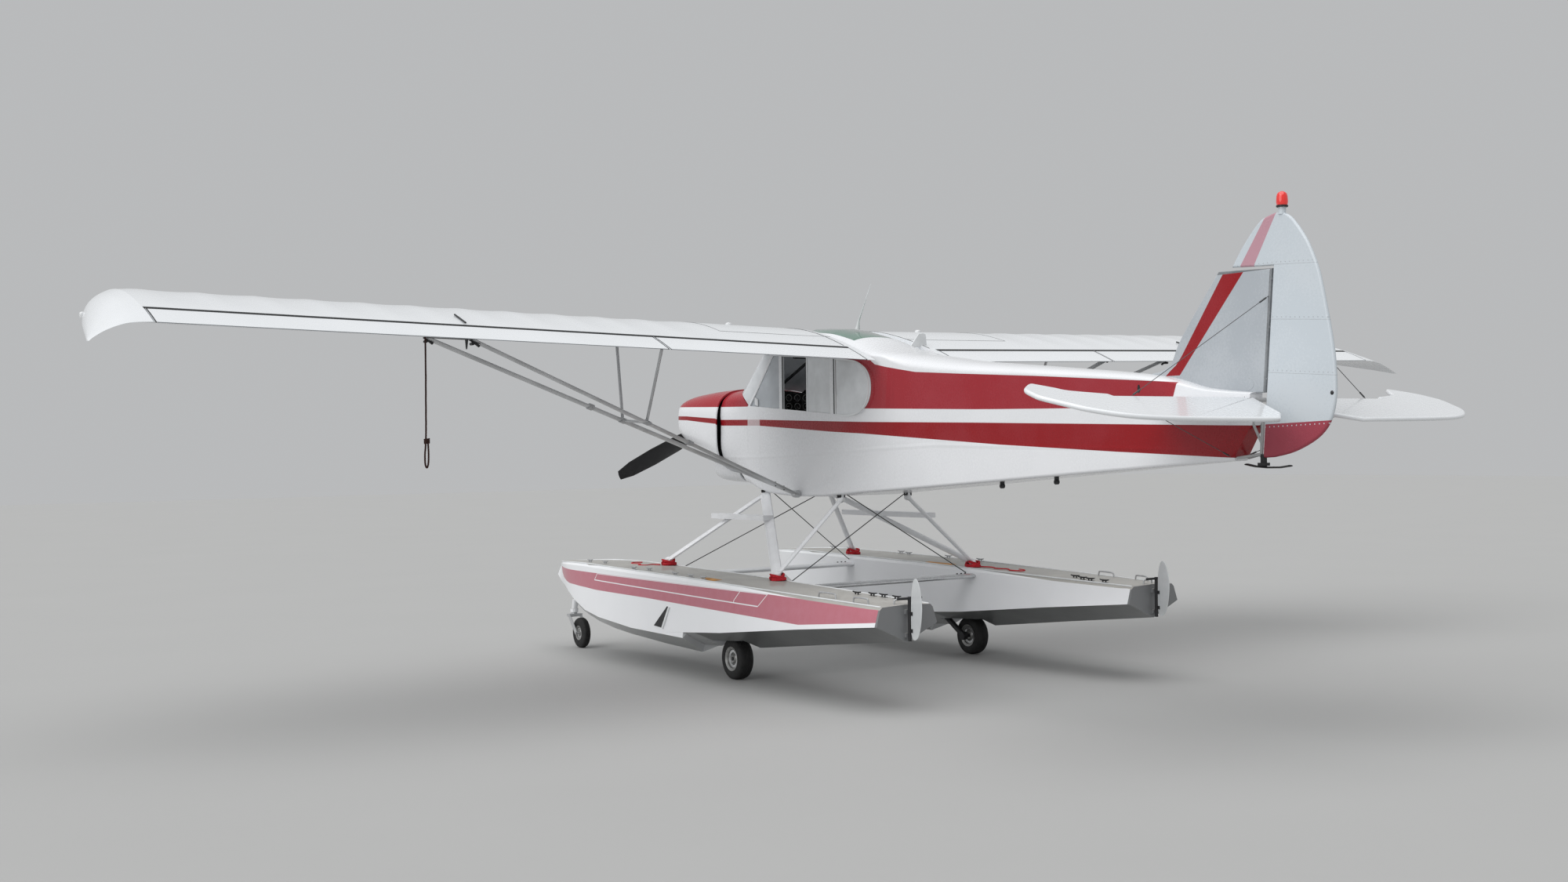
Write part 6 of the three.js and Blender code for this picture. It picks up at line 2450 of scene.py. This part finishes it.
    def rudder_post(self) -> Shape:
        """The post, the tiller bar and the hinge bracket of a water rudder.

        Returns:
            The post with its bar and brackets.
        """
        shape = tube([at(self.out, 3.036, 0.462), at(self.out, 3.036, 0.748)], 0.012, 16)
        shape += tube([at(self.out - 0.095, 3.036, 0.738), at(self.out + 0.095, 3.036, 0.738)], 0.008, 12)
        for z in (0.53, 0.64):
            shape += box((self.out - 0.007, 3.036, z - 0.012), (self.out + 0.007, 3.075, z + 0.012))
        return shape

    def build(self, shop: Workshop) -> None:
        """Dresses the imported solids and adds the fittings.

        Args:
            shop: The workshop that finishes the pieces.
        """
        for side in Side:
            word = side.word
            shop.dress(f"float_{word}", "float_paint", 0.004, 20)
            shop.dress(f"float_struts_{word}", "strut_white", 0.002, 45)
            shop.dress(f"main_leg_{word}", "dark_metal", 0.002, 45)
            shop.dress(f"bow_fork_{word}", "strut_grey", 0.002, 45)
            body = f"water_rudder_{word}"
            shop.piece(f"water_rudder_leaf_{word}", self.blade().sided(side), "water_rudder", body, [body],
                       crisp=40)
            shop.piece(f"water_rudder_post_{word}", self.rudder_post().sided(side), "dark_metal", body,
                       crisp=40)
            shop.piece(f"deck_rails_{word}", self.rails().sided(side), "trim_white", crisp=60)
            cleats = total(self.cleat(*spot) for spot in self.cleats)
            cleats += total(self.handle(*ends) for ends in self.handles)
            shop.piece(f"deck_cleats_{word}", cleats.sided(side), "deck_metal", crisp=50)
            dark = total(self.cleat(*spot) for spot in self.dark_cleats) + self.clamps()
            dark += self.patch([(0.273, 0.521), (0.298, 0.517), (0.217, 0.356), (0.089, 0.364)])
            shop.piece(f"float_fittings_{word}", dark.sided(side), "dark_metal", crisp=50)
            lip = self.patch([(0.303, 0.519), (0.325, 0.517), (0.245, 0.35), (0.222, 0.356)], 0.01)
            shop.piece(f"drain_lip_{word}", lip.sided(side), "trim_white", bevel=0.002)
            lashings = total(self.lashing(x, y) for x, y in self.feet)
            shop.piece(f"lashings_{word}", lashings.sided(side), "rope_red", crisp=70)
        shop.piece("deck_patches", total(self.pad(*patch) for patch in self.pads), "orange_patch", crisp=40)
        shop.piece("paddle", self.paddle().sided(Side.STARBOARD), "paddle_wood", crisp=60)
        bolts = total(self.bolts(*spot) for spot in self.spreaders)
        shop.piece("spreader_bolts", bolts, "dark_metal", crisp=50)
        shop.dress("spreader_front", "strut_white", 0.002, 45)
        shop.dress("spreader_rear", "bright_metal", 0.002, 45)
        shop.dress("stays_front", "cable", 0.0005, 60)
        shop.dress("stays_rear", "cable", 0.0005, 60)


@dataclass
class Studio:
    """The photograph's camera, a pale floor and soft light."""

    sky: tuple = (0.97, 0.985, 1.0, 1.0)
    sky_strength: float = 0.5
    # Columns: name, strength, width in degrees, the direction it comes from.
    suns: tuple = (("top_sun", 2.0, 80.0, (0.35, 0.1, 1.0)), ("side_sun", 0.75, 50.0, (0.9, 0.1, 0.3)))
    floor: tuple = (0.42, 0.42, 0.415, 1.0)

    def camera(self) -> None:
        """Places the camera where the photograph was taken from."""
        ahead = Vector((sin(CAMERA_TURN), cos(CAMERA_TURN), 0.0))
        right = Vector((ahead.y, -ahead.x, 0.0))
        up = Vector((0.0, 0.0, 1.0))
        roll_cos, roll_sin = cos(CAMERA_ROLL), sin(CAMERA_ROLL)
        lens = bpy.data.cameras.new("camera")
        lens.sensor_width = SENSOR_MM
        lens.lens = SENSOR_MM * FOCAL_PIXELS / PHOTO_WIDE
        lens.shift_x = (PHOTO_WIDE / 2 - PRINCIPAL_COLUMN) / PHOTO_WIDE
        lens.shift_y = (HORIZON_ROW - PHOTO_HIGH / 2) / PHOTO_WIDE
        lens.clip_end = 200.0
        camera = stand("camera", lens)
        axes = Matrix((right * roll_cos - up * roll_sin, right * roll_sin + up * roll_cos,
                       -ahead)).transposed()
        camera.matrix_world = Matrix.Translation(at(*CAMERA_STATION)) @ axes.to_4x4()
        bpy.context.scene.camera = camera

    def floor_finish(self) -> bpy.types.Material:
        """A pale matt floor with the faintest cloud in it.

        Returns:
            The finished material.
        """
        graph = Graph("studio_floor")
        darker = tuple(c * 0.96 for c in self.floor[:3]) + (1.0,)
        colour = graph.blend(graph.noise(0.6), self.floor, darker)
        return graph.close(colour, 0.8, {"Specular IOR Level": 0.2})

    def build(self) -> None:
        """Makes the floor, the sky and the two soft suns."""
        mesh = bpy.data.meshes.new("studio_floor")
        reach = 60.0
        mesh.from_pydata([(-reach, -reach, 0), (reach, -reach, 0), (reach, reach, 0), (-reach, reach, 0)], [],
                         [(0, 1, 2, 3)])
        mesh.materials.append(self.floor_finish())
        stand("studio_floor", mesh)
        world = bpy.data.worlds.new("studio_sky")
        bpy.context.scene.world = world
        world.use_nodes = True
        background = world.node_tree.nodes["Background"]
        background.inputs["Color"].default_value = self.sky
        background.inputs["Strength"].default_value = self.sky_strength
        bpy.context.scene.view_settings.view_transform = "Standard"
        for name, strength, wide, source in self.suns:
            light = bpy.data.lights.new(name, "SUN")
            light.energy = strength
            light.angle = radians(wide)
            stand(name, light).rotation_euler = Vector(source).to_track_quat("Z", "Y").to_euler()


def main() -> None:
    """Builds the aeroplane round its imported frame."""
    logging.basicConfig(level=logging.INFO, format="%(name)s: %(message)s")
    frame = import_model()
    studio = Studio()
    studio.camera()
    shop = Workshop(frame, Finishes())
    TieDownRope().build(shop)
    Floats().ropes(shop)
    sub_assemblies = [
        *(Wing(side) for side in Side),
        *(LiftStruts(side) for side in Side),
        Tail(),
        Fuselage(),
        Cushions(),
        Floats(),
        Wheel("main_wheel", (1.105, 0.85, 0.155), 0.155, 0.082, 0.118, 0.015),
        Wheel("bow_wheel", (1.093, -1.868, 0.13), 0.13, 0.055, 0.066, 0.012),
    ]
    for assembly in sub_assemblies:
        before = shop.made
        assembly.build(shop)
        LOG.info("%s: %d pieces", type(assembly).__name__, shop.made - before)
    studio.build()


if __name__ == "__main__":
    main()
